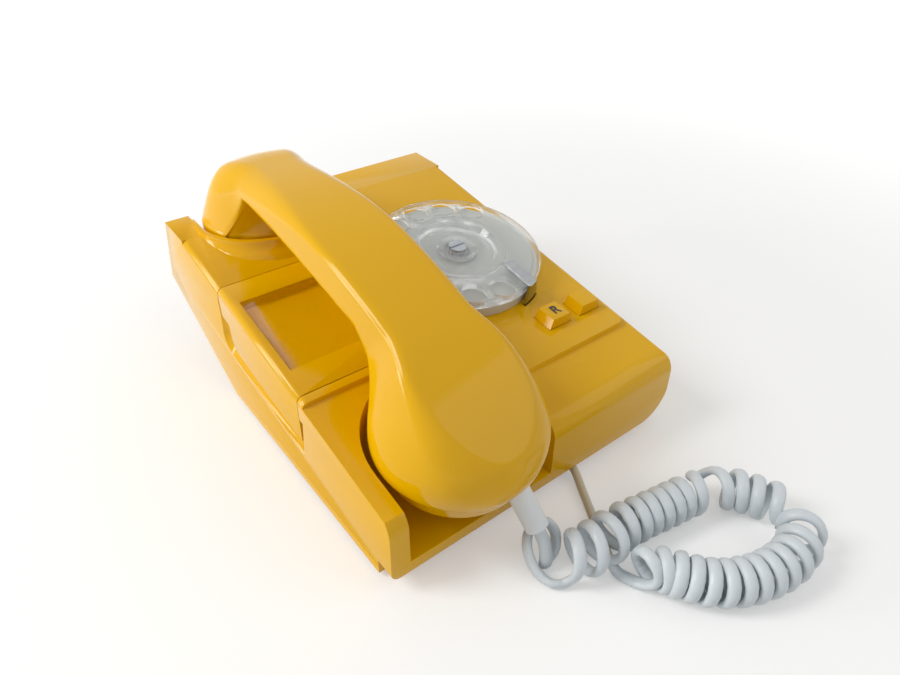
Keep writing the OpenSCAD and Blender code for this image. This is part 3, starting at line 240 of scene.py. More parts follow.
SLOT_FINISH = {
    "housing": housing_abs, "dial_grey": dial_grey, "clear_plastic": clear_acrylic,
    "window_plastic": window_acrylic, "polished_steel": polished_steel, "screw_steel": zinc_steel,
    "bracket_steel": zinc_steel, "spring_steel": blued_steel, "core_steel": laminations,
    "gear_brass": gear_brass, "gong_brass": gong_brass, "coil_copper": winding,
    "cam_plastic": cam_nylon, "phenolic": brown_plastic, "circuit_board": board_laminate,
    "capacitor": dipped_film, "switch_plastic": dark_plastic, "capsule": capsule_plastic,
    "foot_rubber": soft_rubber, "inlet_rubber": soft_rubber, "sleeve_plastic": sleeve_pvc,
    "cord_sheath": cord_pvc, "tail_sheath": tail_pvc}
for part in frame["record"]["subparts"]:
    mesh = frame["nodes"][part["node"]].data
    mesh.materials.clear()
    mesh.materials.append(SLOT_FINISH[part["material_slot"]])
print(len(SLOT_FINISH), "finishes on", len(frame["nodes"]), "nodes")


# %% [markdown]
# ## Meshes from whole arrays
# A surface is a grid of points. The faces are index arithmetic on the same grid, so no loop
# runs over the vertices. Closing a direction wraps its last row of faces to the first.

# %% Mesh helpers
def grid_faces(rows, columns, close_rows=False, close_columns=False):
    """Quads of a rows x columns grid, wrapped where a direction closes."""
    i = np.arange(rows if close_rows else rows - 1)[:, None]
    j = np.arange(columns if close_columns else columns - 1)[None, :]
    i2, j2 = (i + 1) % rows, (j + 1) % columns
    quads = [i * columns + j, i * columns + j2, i2 * columns + j2, i2 * columns + j]
    return np.stack(np.broadcast_arrays(*quads), -1).reshape(-1, 4)


def face_outward(mesh):
    """Turns every face of a closed mesh so that its front looks out."""
    work = bmesh.new()
    work.from_mesh(mesh)
    bmesh.ops.recalc_face_normals(work, faces=work.faces)
    work.to_mesh(mesh)
    work.free()


def new_piece(name, points, faces, material, body, replaced=()):
    """A mesh object in the frame's metres that rides on a body and stands for CAD nodes."""
    mesh = bpy.data.meshes.new(name)
    mesh.from_pydata(points.tolist(), [], faces)
    face_outward(mesh)
    mesh.polygons.foreach_set("use_smooth", np.ones(len(mesh.polygons), bool))
    mesh.materials.append(material)
    piece = bpy.data.objects.new(name, mesh)
    scene.collection.objects.link(piece)
    if body:
        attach(piece, body)
    if replaced:
        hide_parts(*replaced)
    return piece


def curve_through(points, per_span):
    """Catmull-Rom curve: each span is a cubic whose ends lean along their neighbours."""
    p = np.asarray(points, float)
    before, after = np.vstack([p[:1], p[:-1]]), np.vstack([p[1:], p[-1:]])
    a, b, c, d = before[:-1, None], p[:-1, None], p[1:, None], after[1:, None]
    t = (np.arange(per_span) / per_span)[None, :, None]
    spans = 0.5 * (2 * b + (c - a) * t + (2 * a - 5 * b + 4 * c - d) * t ** 2
                   + (3 * b - a - 3 * c + d) * t ** 3)
    return np.vstack([spans.reshape(-1, p.shape[1]), p[-1:]])


def even_steps(points, step):
    """The same line with its points about one step apart, and the run up to each of them."""
    s = np.r_[0, np.cumsum(np.linalg.norm(np.diff(points, axis=0), axis=1))]
    at = np.linspace(0, s[-1], max(2, int(round(s[-1] / step)) + 1))
    return np.stack([np.interp(at, s, points[:, k]) for k in range(3)], 1), at


def run_length(points):
    """The sum of the distances from each point to the next."""
    return float(np.linalg.norm(np.diff(points, axis=0), axis=1).sum())


def unit(vectors):
    """Each vector divided by its own length."""
    return vectors / np.linalg.norm(vectors, axis=-1, keepdims=True)


print("a 3 x 4 grid closed both ways has", len(grid_faces(3, 4, True, True)), "faces")

# %% [markdown]
# ## The handset cord
# A thin round tail leaves the front of the body, slips under the loops and becomes the flat
# ribbon of the curly cord. Curly cord keeps the shape that it was baked in on a rod, so its
# centre line is a helix carried along a route on the table. Handling has turned two places
# over: there the strand stops, turns back and winds on in the other direction. A table gives
# the route, and beside each place the pitch, the radius and how far the turns lean.

# %% Cord routes
TABLE = -FOOT_H
RIBBON_W, RIBBON_T = 4.8, 3.3
TAIL_D = 3.4
# x, y, millimetres of route for each turn, mean radius, turns leaned by degrees
TURNS = np.array([
    (-18.9, -91.2, 7.2, 7.3, 0), (-12.6, -93.4, 7.4, 7.9, 0), (-5.5, -94.4, 8.7, 8.2, 0),
    (4.1, -93.8, 8.2, 7.4, 0), (15.2, -95.1, 5.4, 6.85, 0), (24.3, -96.9, 5.2, 6.85, 0),
    (34.2, -98.6, 5.2, 6.85, 0),
    (43.6, -100.9, 5.3, 6.85, 0), (51.4, -104.8, 5.7, 6.85, 0), (56.2, -110.8, 5.8, 6.85, 0),
    (59.2, -117.6, 5.9, 6.85, 0), (61.3, -123.6, 6.5, 6.85, 0), (61.2, -129.8, 8, 6.85, 0),
    (56.7, -135.2, 8, 6.85, 0), (47.1, -138.6, 7, 6.85, 0), (37.8, -138.8, 6, 6.85, 0),
    (28.0, -136.8, 5.4, 6.85, 3), (20.4, -133.6, 5.2, 6.85, 5), (14.9, -129.9, 5.2, 6.85, 7),
    (10.4, -125.1, 5.2, 6.85, 9), (6.7, -119.7, 5.2, 6.85, 12), (3.0, -114.2, 5.4, 6.85, 25),
    (-2.4, -109.2, 6, 6.85, 48)])
# x, y of the turned-over places, and the part of a turn that the strand has reached there
TURNED_AT = ((46.0, -101.7, 0.5), (61.9, -128.5, -0.05))
# the part of a turn at the coil's two ends
STARTS_AT, ENDS_AT = -0.13, -0.3
# radians over which the strand turns back, and the pitch added there and how far it reaches
SOFT = 2.0
U_TURN_OPEN, U_TURN_REACH = 9.0, 5.0
# from the sleeve into the coil, out of the coil, and from there to the body
HANDSET_TAIL = [(-23.1, -76.2, 17.5), (-22.5, -78.9, 13.8), (-21.9, -81.8, 9.4), (-22.3, -84.6, 4.9),
                (-24.3, -87.0, 1.3), (-25.6, -86.6, -0.3), (-24.2, -84.6, -0.4), (-20.6, -84.2, -0.3),
                (-16.8, -83.4, 1.6), (-14.4, -80.6, 6.0), (-15.4, -77.4, 9.6), (-18.9, -75.4, 10.0),
                (-23.6, -76.0, 8.2), (-27.2, -79.8, 5.2), (-28.6, -85.0, 2.2), (-27.8, -90.2, 0.1),
                (-26.0, -94.4, -0.3)]
COIL_OUT = [(-4.4, -106.6, -0.35), (-5.0, -103.2, -0.3), (-4.0, -99.6, -0.3), (-2.4, -96.6, -0.3)]
BODY_TAIL = [(-2.9, -97.4, 0), (-0.6, -93.5, 0), (2.4, -87, 0), (7.2, -79.2, 0), (12.8, -69, 0.3),
             (16.8, -61, 1.5), (17.5, -57, 2.2), (17.5, -54, 2.2), (17.5, -51, 2.2)]


def swept(path, across, lift, width, thickness, sides):
    """An oval section on each point of a path: width along across, thickness along lift."""
    turn = np.linspace(0, 2 * np.pi, sides, endpoint=False)
    ring = (np.cos(turn)[None, :, None] * across[:, None, :] * np.reshape(width, (-1, 1, 1)) / 2
            + np.sin(turn)[None, :, None] * lift[:, None, :] * np.reshape(thickness, (-1, 1, 1)) / 2)
    points = (path[:, None, :] + ring).reshape(-1, 3)
    faces = grid_faces(len(path), sides, close_columns=True).tolist()
    last = (len(path) - 1) * sides
    return points, faces + [list(range(sides))[::-1], list(range(last, last + sides))]


def u_turn(angle):
    """A turned angle that runs down, rounds off over SOFT radians, and runs up again."""
    return np.sqrt(angle ** 2 + SOFT ** 2) - SOFT


def stretched(total, wanted):
    """The factor on a stretch of angle that makes it end on the wanted part of a turn."""
    whole = wanted + 2 * np.pi * round((u_turn(total) - wanted) / (2 * np.pi))
    return math.sqrt((whole + SOFT) ** 2 - SOFT ** 2) / total


print("coil laid through", len(TURNS), "places, its winding turned over at", len(TURNED_AT))

# %% [markdown]
# The angle round the coil is the running sum of 2 pi / pitch. The pitch opens at the two
# turned-over places, where the sum is mirrored, and each of the three stretches is scaled so
# that its ends meet. A point is then route + radius (cos a sideways + sin a up).

# %% Centre line of the curly cord
PER_SPAN = 24
HELIX_STEP = 0.1
route_raw = curve_through([(x, y, TABLE + r + RIBBON_T / 2) for x, y, _, r, _ in TURNS], PER_SPAN)
route, s = even_steps(route_raw, HELIX_STEP)
knots = np.r_[0, np.cumsum(np.linalg.norm(np.diff(route_raw, axis=0), axis=1))][::PER_SPAN]
pitch, radius, lean = (np.interp(s, knots, TURNS[:, k]) for k in (2, 3, 4))
route[:, 2] = TABLE + radius + RIBBON_T / 2
first, second = (int(np.argmin(np.hypot(route[:, 0] - x, route[:, 1] - y))) for x, y, _ in TURNED_AT)
for turned in (first, second):
    pitch = pitch + U_TURN_OPEN * np.exp(-((s - s[turned]) / U_TURN_REACH) ** 2)
wound = np.r_[0, np.cumsum(4 * np.pi / (pitch[1:] + pitch[:-1]) * np.diff(s))]
high, low = (2 * np.pi * part for _, _, part in TURNED_AT)
to_first = u_turn((wound[first] - wound) * stretched(wound[first], high - 2 * np.pi * STARTS_AT))
half = (wound[second] - wound[first]) / 2
grip_angle = math.pi * round((2 * u_turn(half) - (high - low)) / (2 * np.pi)) + (high - low) / 2
tight = math.sqrt((grip_angle + SOFT) ** 2 - SOFT ** 2) / half
low = high - 2 * grip_angle
after = u_turn((wound - wound[second]) * stretched(wound[-1] - wound[second], 2 * np.pi * ENDS_AT - low))
index = np.arange(len(s))
angle = np.select([index < first, wound - wound[first] < half, index < second],
                  [high - to_first, high - u_turn((wound - wound[first]) * tight),
                   low + u_turn((wound[second] - wound) * tight)], low + after)
heading = np.unwrap(np.arctan2(*np.gradient(route, axis=0)[:, 1::-1].T)) + np.radians(lean)
ahead = np.stack([np.cos(heading), np.sin(heading), 0 * heading], 1)
side = np.stack([np.sin(heading), -np.cos(heading), 0 * heading], 1)
up = np.array([0.0, 0.0, 1.0])
away = np.cos(angle)[:, None] * side + np.sin(angle)[:, None] * up
helix = route + radius[:, None] * away
turn_count = float(np.abs(np.diff(angle)).sum() / 2 / np.pi)
print("curly cord:", round(s[-1], 1), "mm of route,", round(turn_count, 1), "turns")

# %% [markdown]
# The ribbon lies flat on the rod, so across the helix its width runs along the coil's axis and
# its thickness points away from it. The lead to the handset is bent into a wide hook and a
# loop first; there the width turns slowly from the one direction to the other. Each lead's
# curve also runs through a few points of the helix, so that it leaves in the helix's own
# direction, and the spans over those points are dropped again.

# %% Curly cord
LEAD_SPAN, JOIN_STEP = 16, 20
RIBBON_STEP, HELIX_KEPT = 0.85, 4
EASE_REACH = 7.0
RIBBON_END_W, RIBBON_END_RUN = 3.5, 12
RIBBON_SIDES = 12
lead_in = curve_through(HANDSET_TAIL + [tuple(p) for p in helix[:3 * JOIN_STEP:JOIN_STEP]],
                        LEAD_SPAN)[:-2 * LEAD_SPAN - 1]
lead_out = curve_through([tuple(p) for p in helix[-3 * JOIN_STEP - 1::JOIN_STEP]] + COIL_OUT,
                         LEAD_SPAN)[3 * LEAD_SPAN + 1:]
flat_in = np.array([(-0.79, 0.61, -0.1)] * 5 + [(-0.6, 0.5, -0.5)] * 2 + [(-0.15, 0.6, -0.78)] * 8
                   + [(0.3, -0.3, -0.8), (0.7, -0.3, -0.4)] + [tuple(ahead[0])])
share = np.linspace(0, len(flat_in) - 1, len(lead_in))
stations = np.arange(len(flat_in))
width_in = np.stack([np.interp(share, stations, flat_in[:, k]) for k in range(3)], 1)
out_share = np.linspace(0, 1, len(lead_out))[:, None]
width_out = (1 - out_share) * ahead[-1] + out_share * np.array([-0.9, 0.3, 0.0])
raw = np.vstack([lead_in, helix[:-1:HELIX_KEPT], lead_out])
guide = np.vstack([width_in, ahead[:-1:HELIX_KEPT], width_out])
raw_at = np.r_[0, np.cumsum(np.linalg.norm(np.diff(raw, axis=0), axis=1))]
ribbon, ribbon_at = even_steps(raw, RIBBON_STEP)
tight_spots = [(helix[0], 30), (helix[-1], 20), ((-24.9, -86.3, 0.2), 45)]
for spot, passes in tight_spots:
    here = ribbon_at[np.argmin(np.linalg.norm(ribbon - spot, axis=1))]
    ease = 0.5 * np.exp(-((ribbon_at[1:-1] - here) / EASE_REACH) ** 4)[:, None]
    for _ in range(passes):
        ribbon[1:-1] += ease * ((ribbon[:-2] + ribbon[2:]) / 2 - ribbon[1:-1])
guide = np.stack([np.interp(ribbon_at, raw_at, guide[:, k]) for k in range(3)], 1)
tangent = unit(np.gradient(ribbon, axis=0))
across = unit(guide - (guide * tangent).sum(1, keepdims=True) * tangent)
reach = np.hypot(RIBBON_W / 2 * across[:, 2], RIBBON_T / 2 * np.cross(tangent, across)[:, 2])
ribbon[:, 2] += np.maximum(0, TABLE + reach - ribbon[:, 2])
full = smoothstep(0, RIBBON_END_RUN, ribbon_at[-1] - ribbon_at)
ribbon_w = RIBBON_END_W + (RIBBON_W - RIBBON_END_W) * full
points, faces = swept(ribbon, across, np.cross(tangent, across), ribbon_w, RIBBON_T, RIBBON_SIDES)
curly_cord = new_piece("curly_cord", placed(points), faces, cord_pvc, None,
                       ("cord_tail_handset", "cord_coil"))
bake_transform(curly_cord)
gone = np.linalg.norm(np.diff(ribbon, axis=0), axis=1)[:-1]
swung = np.linalg.norm(np.diff(tangent, axis=0), axis=1)[:-1]
bend = gone / np.maximum(1e-6, swung)
worst = np.argsort(bend)[:6]
print("least bends", [(round(float(bend[k]), 2), ribbon[k].round(1).tolist()) for k in worst])
bottoms = [round(float(p[0]), 1) for p in helix[:-1][np.diff(np.floor(angle / 2 / np.pi + 0.25)) != 0]]
print("ribbon of", round(float(ribbon_at[-1]) / 1000, 2), "m,", len(faces), "faces; bottoms at x", bottoms)

# %% [markdown]
# The tail is a plain round tube along its own curve. The check printed at the end is the least
# distance from it to the middle of the ribbon that lies over it.

# %% Body tail
TAIL_SPAN, TAIL_STEP, TAIL_SIDES = 12, 1.2, 14
tail_points = [(x, y, z + TABLE + TAIL_D / 2) for x, y, z in BODY_TAIL]
tail_path, _ = even_steps(curve_through(tail_points, TAIL_SPAN), TAIL_STEP)
tail_along = unit(np.gradient(tail_path, axis=0))
tail_side = unit(np.cross(tail_along, up))
points, faces = swept(tail_path, tail_side, np.cross(tail_side, tail_along), TAIL_D, TAIL_D, TAIL_SIDES)
body_tail = new_piece("body_tail", placed(points), faces, tail_pvc, None, ("cord_tail_body",))
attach(body_tail, "root")
gap = min(float(np.linalg.norm(ribbon[:-30] - p, axis=1).min()) for p in tail_path)
print("tail of", round(run_length(tail_path)), "mm; least distance to the ribbon's middle",
      round(gap, 2), "mm")

# %% [markdown]
# A cord is also described by numbers: its length and its tail's length are printed, each measured along its
# centre line.

# %% Cord facts
print("cord of", round(run_length(ribbon)), "mm and tail of", round(run_length(tail_path)), "mm stated")

# %% [markdown]
# ## The handset
# The shell is one moulding. A straight grip swells into a drum over the ear and a dome over the
# mouth, and one smooth curve runs over all three. A form like this is easiest to say as a
# formula: each simple solid is a number that is negative inside and grows with the distance
# outside. The smaller of two numbers joins two solids, the larger keeps what they share, and
# a quarter circle in place of the bare minimum or maximum gives the corner its radius.

# %% Handset form
HANDSET_X = -30.7
MOUTH_AT, MOUTH_TILT = (-43.0, 32.0), math.radians(6)
EAR_Y = 107.0
GRIP_HALF, GRIP_DRAFT = 17.5, 0.1
MOUTH_CORNER_R, EAR_CORNER_R, GRIP_EDGE_R = 14.0, 9.0, 3.0
REAR_EDGE_R, EDGE_R, EAR_EDGE_MORE, MOUTH_EDGE_MORE = 2.0, 2.5, 8.0, 5.0
NOSE_Y, NOSE_RUN = -58.0, 16.0
# the top line's arcs: middle and radius in y and z; the rear one's middle is a distance from y = 72
CROWN = {"front": (11.17, -23.43, 110.0), "grip": (72.0, -166.0, 265.0), "rear": (18.0, 54.0, 45.0)}
CROWN_TOP, FRONT_END, GRIP_END = 99.0, -32.0, 72.0
# a flared side is nearer than the level distance to it says
MOUTH_FLARE, EAR_FLARE = 0.9, 0.97
MOUTH_TOP = 50
# how deep under the crown the grip's sides keep widening
DRAFT_DEPTH = 30
# height above the rim and radius of the mouthpiece, height and radius of the earpiece
MOUTH_PROFILE = curve_through([
    (-1, 28.6), (0, 29.3), (1.6, 31.2), (4.5, 32.2), (9, 32.4), (14, 31.4), (18, 29.6), (22, 27.5),
    (26, 25.2), (30, 22.7), (34, 20.2), (38, 17.8), (42, 15), (46, 11)], 12)
EAR_PROFILE = curve_through([(50, 28), (66, 28), (70, 27), (76, 25.1), (85, 22.5), (92, 20), (99, 18)], 12)
# y and z along the grip's lower side
UNDERSIDE = np.array([
    (-80, 44), (-58, 45), (-30, 50), (-8, 71.4), (10, 75.6), (34, 80.8), (52, 84), (74, 86.6),
    (80, 86.9), (95, 64), (140, 60)], float)


def joined(a, b, r):
    """Both solids together, the corner between them filled to radius r."""
    return np.maximum(r, np.minimum(a, b)) - np.hypot(np.maximum(r - a, 0), np.maximum(r - b, 0))


def shared(a, b, r):
    """What both solids hold, the edge between them rounded to radius r."""
    return np.minimum(-r, np.maximum(a, b)) + np.hypot(np.maximum(r + a, 0), np.maximum(r + b, 0))


def crown_gap(x, y, z):
    """Distance over the top line: three arcs, the last of them turned about y = 72."""
    (fy, fz, fr), (gy, gz, gr), (ry, rz, rr) = CROWN.values()
    out = np.hypot(x, y - GRIP_END)
    rear = np.where(out < ry, z - CROWN_TOP, np.hypot(out - ry, np.maximum(z - rz, 0)) - rr)
    front, grip = np.hypot(y - fy, z - fz) - fr, np.hypot(y - gy, z - gz) - gr
    return np.select([y < FRONT_END, y < GRIP_END], [front, grip], rear)


def handset_form(x, y, z):
    """Negative inside the handset: grip, mouthpiece and earpiece joined, and cut by the crown."""
    up_front = -math.sin(MOUTH_TILT) * (y - MOUTH_AT[0]) + math.cos(MOUTH_TILT) * (z - MOUTH_AT[1])
    back = math.cos(MOUTH_TILT) * (y - MOUTH_AT[0]) + math.sin(MOUTH_TILT) * (z - MOUTH_AT[1])
    mouth = (np.hypot(x, back) - np.interp(up_front, *MOUTH_PROFILE.T)) * MOUTH_FLARE
    mouth = np.maximum(mouth, up_front - MOUTH_TOP)
    ear = (np.hypot(x, y - EAR_Y) - np.interp(z, *EAR_PROFILE.T)) * EAR_FLARE
    crown = crown_gap(x, y, z)
    nose = np.sqrt(1 - np.clip((NOSE_Y - y) / NOSE_RUN, 0, 1) ** 2)
    half = GRIP_HALF * nose + GRIP_DRAFT * np.clip(-crown, 0, DRAFT_DEPTH)
    grip = shared(np.abs(x) - half, np.interp(y, *UNDERSIDE.T) - z, GRIP_EDGE_R)
    grip = shared(grip, y - EAR_Y, REAR_EDGE_R)
    body = joined(joined(grip, mouth, MOUTH_CORNER_R), ear, EAR_CORNER_R)
    edge_r = EDGE_R + EAR_EDGE_MORE * smoothstep(15, 85, y) + MOUTH_EDGE_MORE * smoothstep(35, 70, -y)
    return shared(crown, body, edge_r)


print("the middle of the grip is", round(-float(handset_form(0.0, 40.0, 90.0)), 1), "mm inside the form")

# %% [markdown]
# The surface itself is found along rays. A row of planes runs through the handset like the
# slices of a loaf that turn the corner at each end. In each plane 144 rays leave the middle,
# and halving the interval 30 times finds where each one passes through the surface.

# %% Handset slices
RAYS, HALVINGS, RAY_REACH = 144, 30, 70.0
MOUTH_SLICES, GRIP_SLICES, EAR_SLICES = 13, 56, 9
MOUTH_FAN, EAR_FAN = 84, 72
MOUTH_RISE, MOUTH_SHIFT = 13.8, 1.65
# a row is a slice: y and z of its middle, then the direction in (y, z) of its second axis
tilt_v = (-math.cos(MOUTH_TILT), -math.sin(MOUTH_TILT))
rise = np.linspace(0, MOUTH_RISE, MOUTH_SLICES, endpoint=False)[:, None]
mouth_middles = (MOUTH_AT + rise * [-math.sin(MOUTH_TILT), math.cos(MOUTH_TILT)]
                 + rise / MOUTH_RISE * MOUTH_SHIFT * np.array([-tilt_v[0], -tilt_v[1]]))
mouth_rows = np.hstack([mouth_middles, np.tile(tilt_v, (MOUTH_SLICES, 1))])


def fan_rows(hinge, first, last, near, far_out, count):
    """Slices that turn about a hinge: centre = hinge + rho (cos a, sin a)."""
    a = np.radians(np.linspace(first, last, count, endpoint=False))[:, None]
    rho = np.linspace(near, far_out, count, endpoint=False)[:, None]
    way = np.hstack([np.cos(a), np.sin(a)])
    return np.hstack([np.array(hinge) + rho * way, way])


grip_y = np.linspace(-4, GRIP_END, GRIP_SLICES, endpoint=False)
crown_z = CROWN["grip"][1] + np.sqrt(CROWN["grip"][2] ** 2 - (grip_y - CROWN["grip"][0]) ** 2)
grip_z = (np.interp(grip_y, *UNDERSIDE.T) + crown_z) / 2
grip_rows = np.stack([grip_y, grip_z, 0 * grip_y, 0 * grip_y + 1], 1)
ear_rows = np.stack([np.full(EAR_SLICES, EAR_Y), np.linspace(66, 56, EAR_SLICES), np.ones(EAR_SLICES),
                     np.zeros(EAR_SLICES)], 1)
front_fan = fan_rows((-4, 50), 186, 90, 39, grip_rows[0, 1] - 50, MOUTH_FAN)
rear_fan = fan_rows((GRIP_END, 66), 90, 0, 26.8, EAR_Y - GRIP_END, EAR_FAN)
slices = np.vstack([mouth_rows, front_fan, grip_rows, rear_fan, ear_rows])


def skin(rows, depth=0.0):
    """The surface on which the form is -depth, as points and faces, closed at both ends."""
    turn = np.linspace(0, 2 * np.pi, RAYS, endpoint=False)
    ray_x = np.broadcast_to(np.cos(turn), (len(rows), RAYS))
    ray_y, ray_z = (np.sin(turn) * rows[:, k, None] for k in (2, 3))
    mid_y, mid_z = rows[:, :1], rows[:, 1:2]
    inside, outside = np.zeros(ray_x.shape), np.full(ray_x.shape, RAY_REACH)
    for _ in range(HALVINGS):
        middle = (inside + outside) / 2
        hit = handset_form(middle * ray_x, mid_y + middle * ray_y, mid_z + middle * ray_z) < -depth
        inside, outside = np.where(hit, middle, inside), np.where(hit, outside, middle)
    points = np.stack([HANDSET_X + inside * ray_x, mid_y + inside * ray_y, mid_z + inside * ray_z], -1)
    faces = grid_faces(len(rows), RAYS, close_columns=True).tolist()
    last = (len(rows) - 1) * RAYS
    return points.reshape(-1, 3), faces + [list(range(RAYS))[::-1], list(range(last, last + RAYS))]


shell_points, shell_faces = skin(slices)
print("handset:", len(slices), "slices, from y", shell_points[:, 1].min().round(1),
      "to", shell_points[:, 1].max().round(1), "and up to", shell_points[:, 2].max().round(1))

# %% [markdown]
# Under the grip lies a second moulding, screwed in from below: a strip that ends in the front
# wall of the earpiece, one millimetre behind the shell's surface. The shell is cut out for it
# with two prisms, and its edge throws the thin V-shaped shadow beside the ear.

# %% Handset shell
UNDER_GAP = 0.15
# side outline in y and z of what is taken out before the ear
FRONT_ZONE = [(60, 60.35), (60, 85.3), (74, 86.6), (78.6, 86.8), (80.3, 86.2), (81.5, 84.5),
              (90.6, 70.5), (97.2, 60.35)]
ZONE_HALF, WALL_BACK = 45, 1.0
STRIP_HALF, STRIP_TOP, STRIP_BELOW = 14.5, 2.55, 8
CREASE = math.radians(35)


def prism(outline, half):
    """A side outline in (y, z) carried from one side to the other of the handset's middle."""
    flat = np.array(outline, float)
    points = np.vstack([np.c_[np.full(len(flat), HANDSET_X + side * half), flat] for side in (-1, 1)])
    n = len(flat)
    caps = [list(range(n)), list(range(n, 2 * n))[::-1]]
    faces = caps + [[i, (i + 1) % n, n + (i + 1) % n, n + i] for i in range(n)]
    mesh = bpy.data.meshes.new("cutter")
    mesh.from_pydata(placed(points).tolist(), [], faces)
    face_outward(mesh)
    return mesh


def cut_away(piece, cutters):
    """Takes the cutter meshes out of a closed piece with an exact Boolean and keeps the result."""
    holders = []
    for mesh in cutters:
        holder = bpy.data.objects.new("cutter", mesh)
        scene.collection.objects.link(holder)
        cut = piece.modifiers.new("cut", "BOOLEAN")
        cut.operation, cut.solver, cut.object = "DIFFERENCE", "EXACT", holder
        holders.append(holder)
    bpy.context.view_layer.update()
    done = bpy.data.meshes.new_from_object(piece.evaluated_get(bpy.context.evaluated_depsgraph_get()))
    piece.modifiers.clear()
    old, piece.data = piece.data, done
    bpy.data.meshes.remove(old)
    for holder in holders:
        bpy.data.objects.remove(holder)


handset_shell = new_piece("handset_shell", placed(shell_points), shell_faces, housing_abs, "handset",
                          ("handset_shell",))
strip_y = np.array([-2.0 - UNDER_GAP, 10, 34, 52, 74, 80])
strip_z = np.interp(strip_y, *UNDERSIDE.T)
strip_zone = [*zip(strip_y, strip_z - STRIP_BELOW)] + [*zip(strip_y[::-1], strip_z[::-1] + STRIP_TOP)]
cut_away(handset_shell, [prism(FRONT_ZONE, ZONE_HALF), prism(strip_zone, STRIP_HALF + UNDER_GAP)])
handset_shell.data.polygons.foreach_set("use_smooth", np.ones(len(handset_shell.data.polygons), bool))
handset_shell.data.set_sharp_from_angle(angle=CREASE)
wall_points, wall_faces = skin(slices[-EAR_FAN - EAR_SLICES:], WALL_BACK)
new_piece("ear_front_wall", placed(wall_points), wall_faces, housing_abs, "handset")
print("handset shell:", len(handset_shell.data.polygons), "faces")

# %% [markdown]
# ## Edges of the mouldings
# A mould cannot make a knife edge, and the light finds every edge: a radius of half a millimetre is what
# makes a plastic case look moulded. The CAD nodes have sharp edges, so a merged copy of each gets a Bevel,
# and the node itself stays, hidden.

# %% Eased copies
SAME_PLACE = 0.000002
FLAT_ANGLE, EDGE_ANGLE = math.radians(0.6), math.radians(28)
BEVEL_STEPS = 3


def eased_copy(name, node, width, body):
    """A copy of a CAD node, its doubles merged and flat triangles joined, with rounded edges."""
    mesh = frame["nodes"][node].data.copy()
    work = bmesh.new()
    work.from_mesh(mesh)
    bmesh.ops.remove_doubles(work, verts=work.verts, dist=SAME_PLACE)
    bmesh.ops.dissolve_limit(work, angle_limit=FLAT_ANGLE, verts=work.verts, edges=work.edges)
    work.to_mesh(mesh)
    work.free()
    mesh.polygons.foreach_set("use_smooth", np.ones(len(mesh.polygons), bool))
    piece = bpy.data.objects.new(name, mesh)
    scene.collection.objects.link(piece)
    rounding = piece.modifiers.new("rounding", "BEVEL")
    rounding.width, rounding.segments = width * MM, BEVEL_STEPS
    rounding.limit_method, rounding.angle_limit = "ANGLE", EDGE_ANGLE
    rounding.harden_normals = True
    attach(piece, body)
    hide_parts(node)
    return piece


EASED = [("case_top", "top_housing", 0.7, "root"), ("case_base", "base_plate", 0.6, "root"),
         ("drawer", "index_tray", 0.5, "index_drawer"), ("recall_key", "recall_button", 0.6, "recall_button"),
         ("second_key", "second_button", 0.6, "second_button"), ("dial_case_rim", "dial_case", 0.4, "root")]
for name, node, width, body in EASED:
    piece = eased_copy(name, node, width, body)
    print(name, len(piece.data.polygons), "faces")

# %% [markdown]
# ### Recall legend
# The recall button carries one printed letter. It is a text curve turned into a mesh and laid
# on the button's top, over which it stands 0.06 mm. The top is found from the node's own faces:
# the highest of those that look along the button's tilted axis.

# %% Recall legend
TOP_TILT = math.radians(11.03)
LEGEND_H = 6.6
# metres: half the letter's thickness, how far its strokes are widened, its place off the middle
LEGEND_T, LEGEND_BOLD, LEGEND_SHIFT = 0.00003, 0.00016, 0.0006
LOOKS_UP, SAME_LEVEL = 0.98, 0.0004
font_curve = bpy.data.curves.new("recall_legend", "FONT")
font_curve.body, font_curve.align_x, font_curve.align_y = "R", "CENTER", "CENTER"
font_curve.size, font_curve.extrude, font_curve.offset = LEGEND_H * MM, LEGEND_T, LEGEND_BOLD
holder = bpy.data.objects.new("legend_curve", font_curve)
scene.collection.objects.link(holder)
bpy.context.view_layer.update()
legend_mesh = bpy.data.meshes.new_from_object(holder.evaluated_get(bpy.context.evaluated_depsgraph_get()))
bpy.data.objects.remove(holder)
face_up = np.array([0, -math.sin(TOP_TILT), math.cos(TOP_TILT)])
key = frame["nodes"]["recall_button"].data
key_faces = [(f.area, np.array(f.center)) for f in key.polygons if np.array(f.normal) @ face_up > LOOKS_UP]
key_top = max(c @ face_up for _, c in key_faces)
key_faces = [(area, c) for area, c in key_faces if key_top - c @ face_up < SAME_LEVEL]
centre = sum(area * c for area, c in key_faces) / sum(area for area, _ in key_faces)
centre = centre + (key_top - centre @ face_up + LEGEND_T) * face_up + [LEGEND_SHIFT, 0.0, 0.0]
flat = np.array([v.co for v in legend_mesh.vertices])
back_way = np.array([0, math.cos(TOP_TILT), math.sin(TOP_TILT)])
laid = centre + flat[:, :1] * [1, 0, 0] + flat[:, 1:2] * back_way + flat[:, 2:] * face_up
legend_mesh.vertices.foreach_set("co", laid.ravel())
legend_mesh.materials.clear()
legend_mesh.materials.append(dark_plastic)
legend = bpy.data.objects.new("recall_legend", legend_mesh)
scene.collection.objects.link(legend)
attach(legend, "recall_button")
print("legend", legend_mesh.name, len(legend_mesh.polygons), "faces at", centre.round(4))

# %% [markdown]
# ## Stage and light
# A pale floor that keeps the shadow but looks white to the camera, and a pale world round it.
# Light Path tells the camera's rays from those that light the object, so that the white does
# not wash the colour out. The three lamps are a window on the left, a low one beside it that
# the handset's flank mirrors, and a weak wide one from the right.

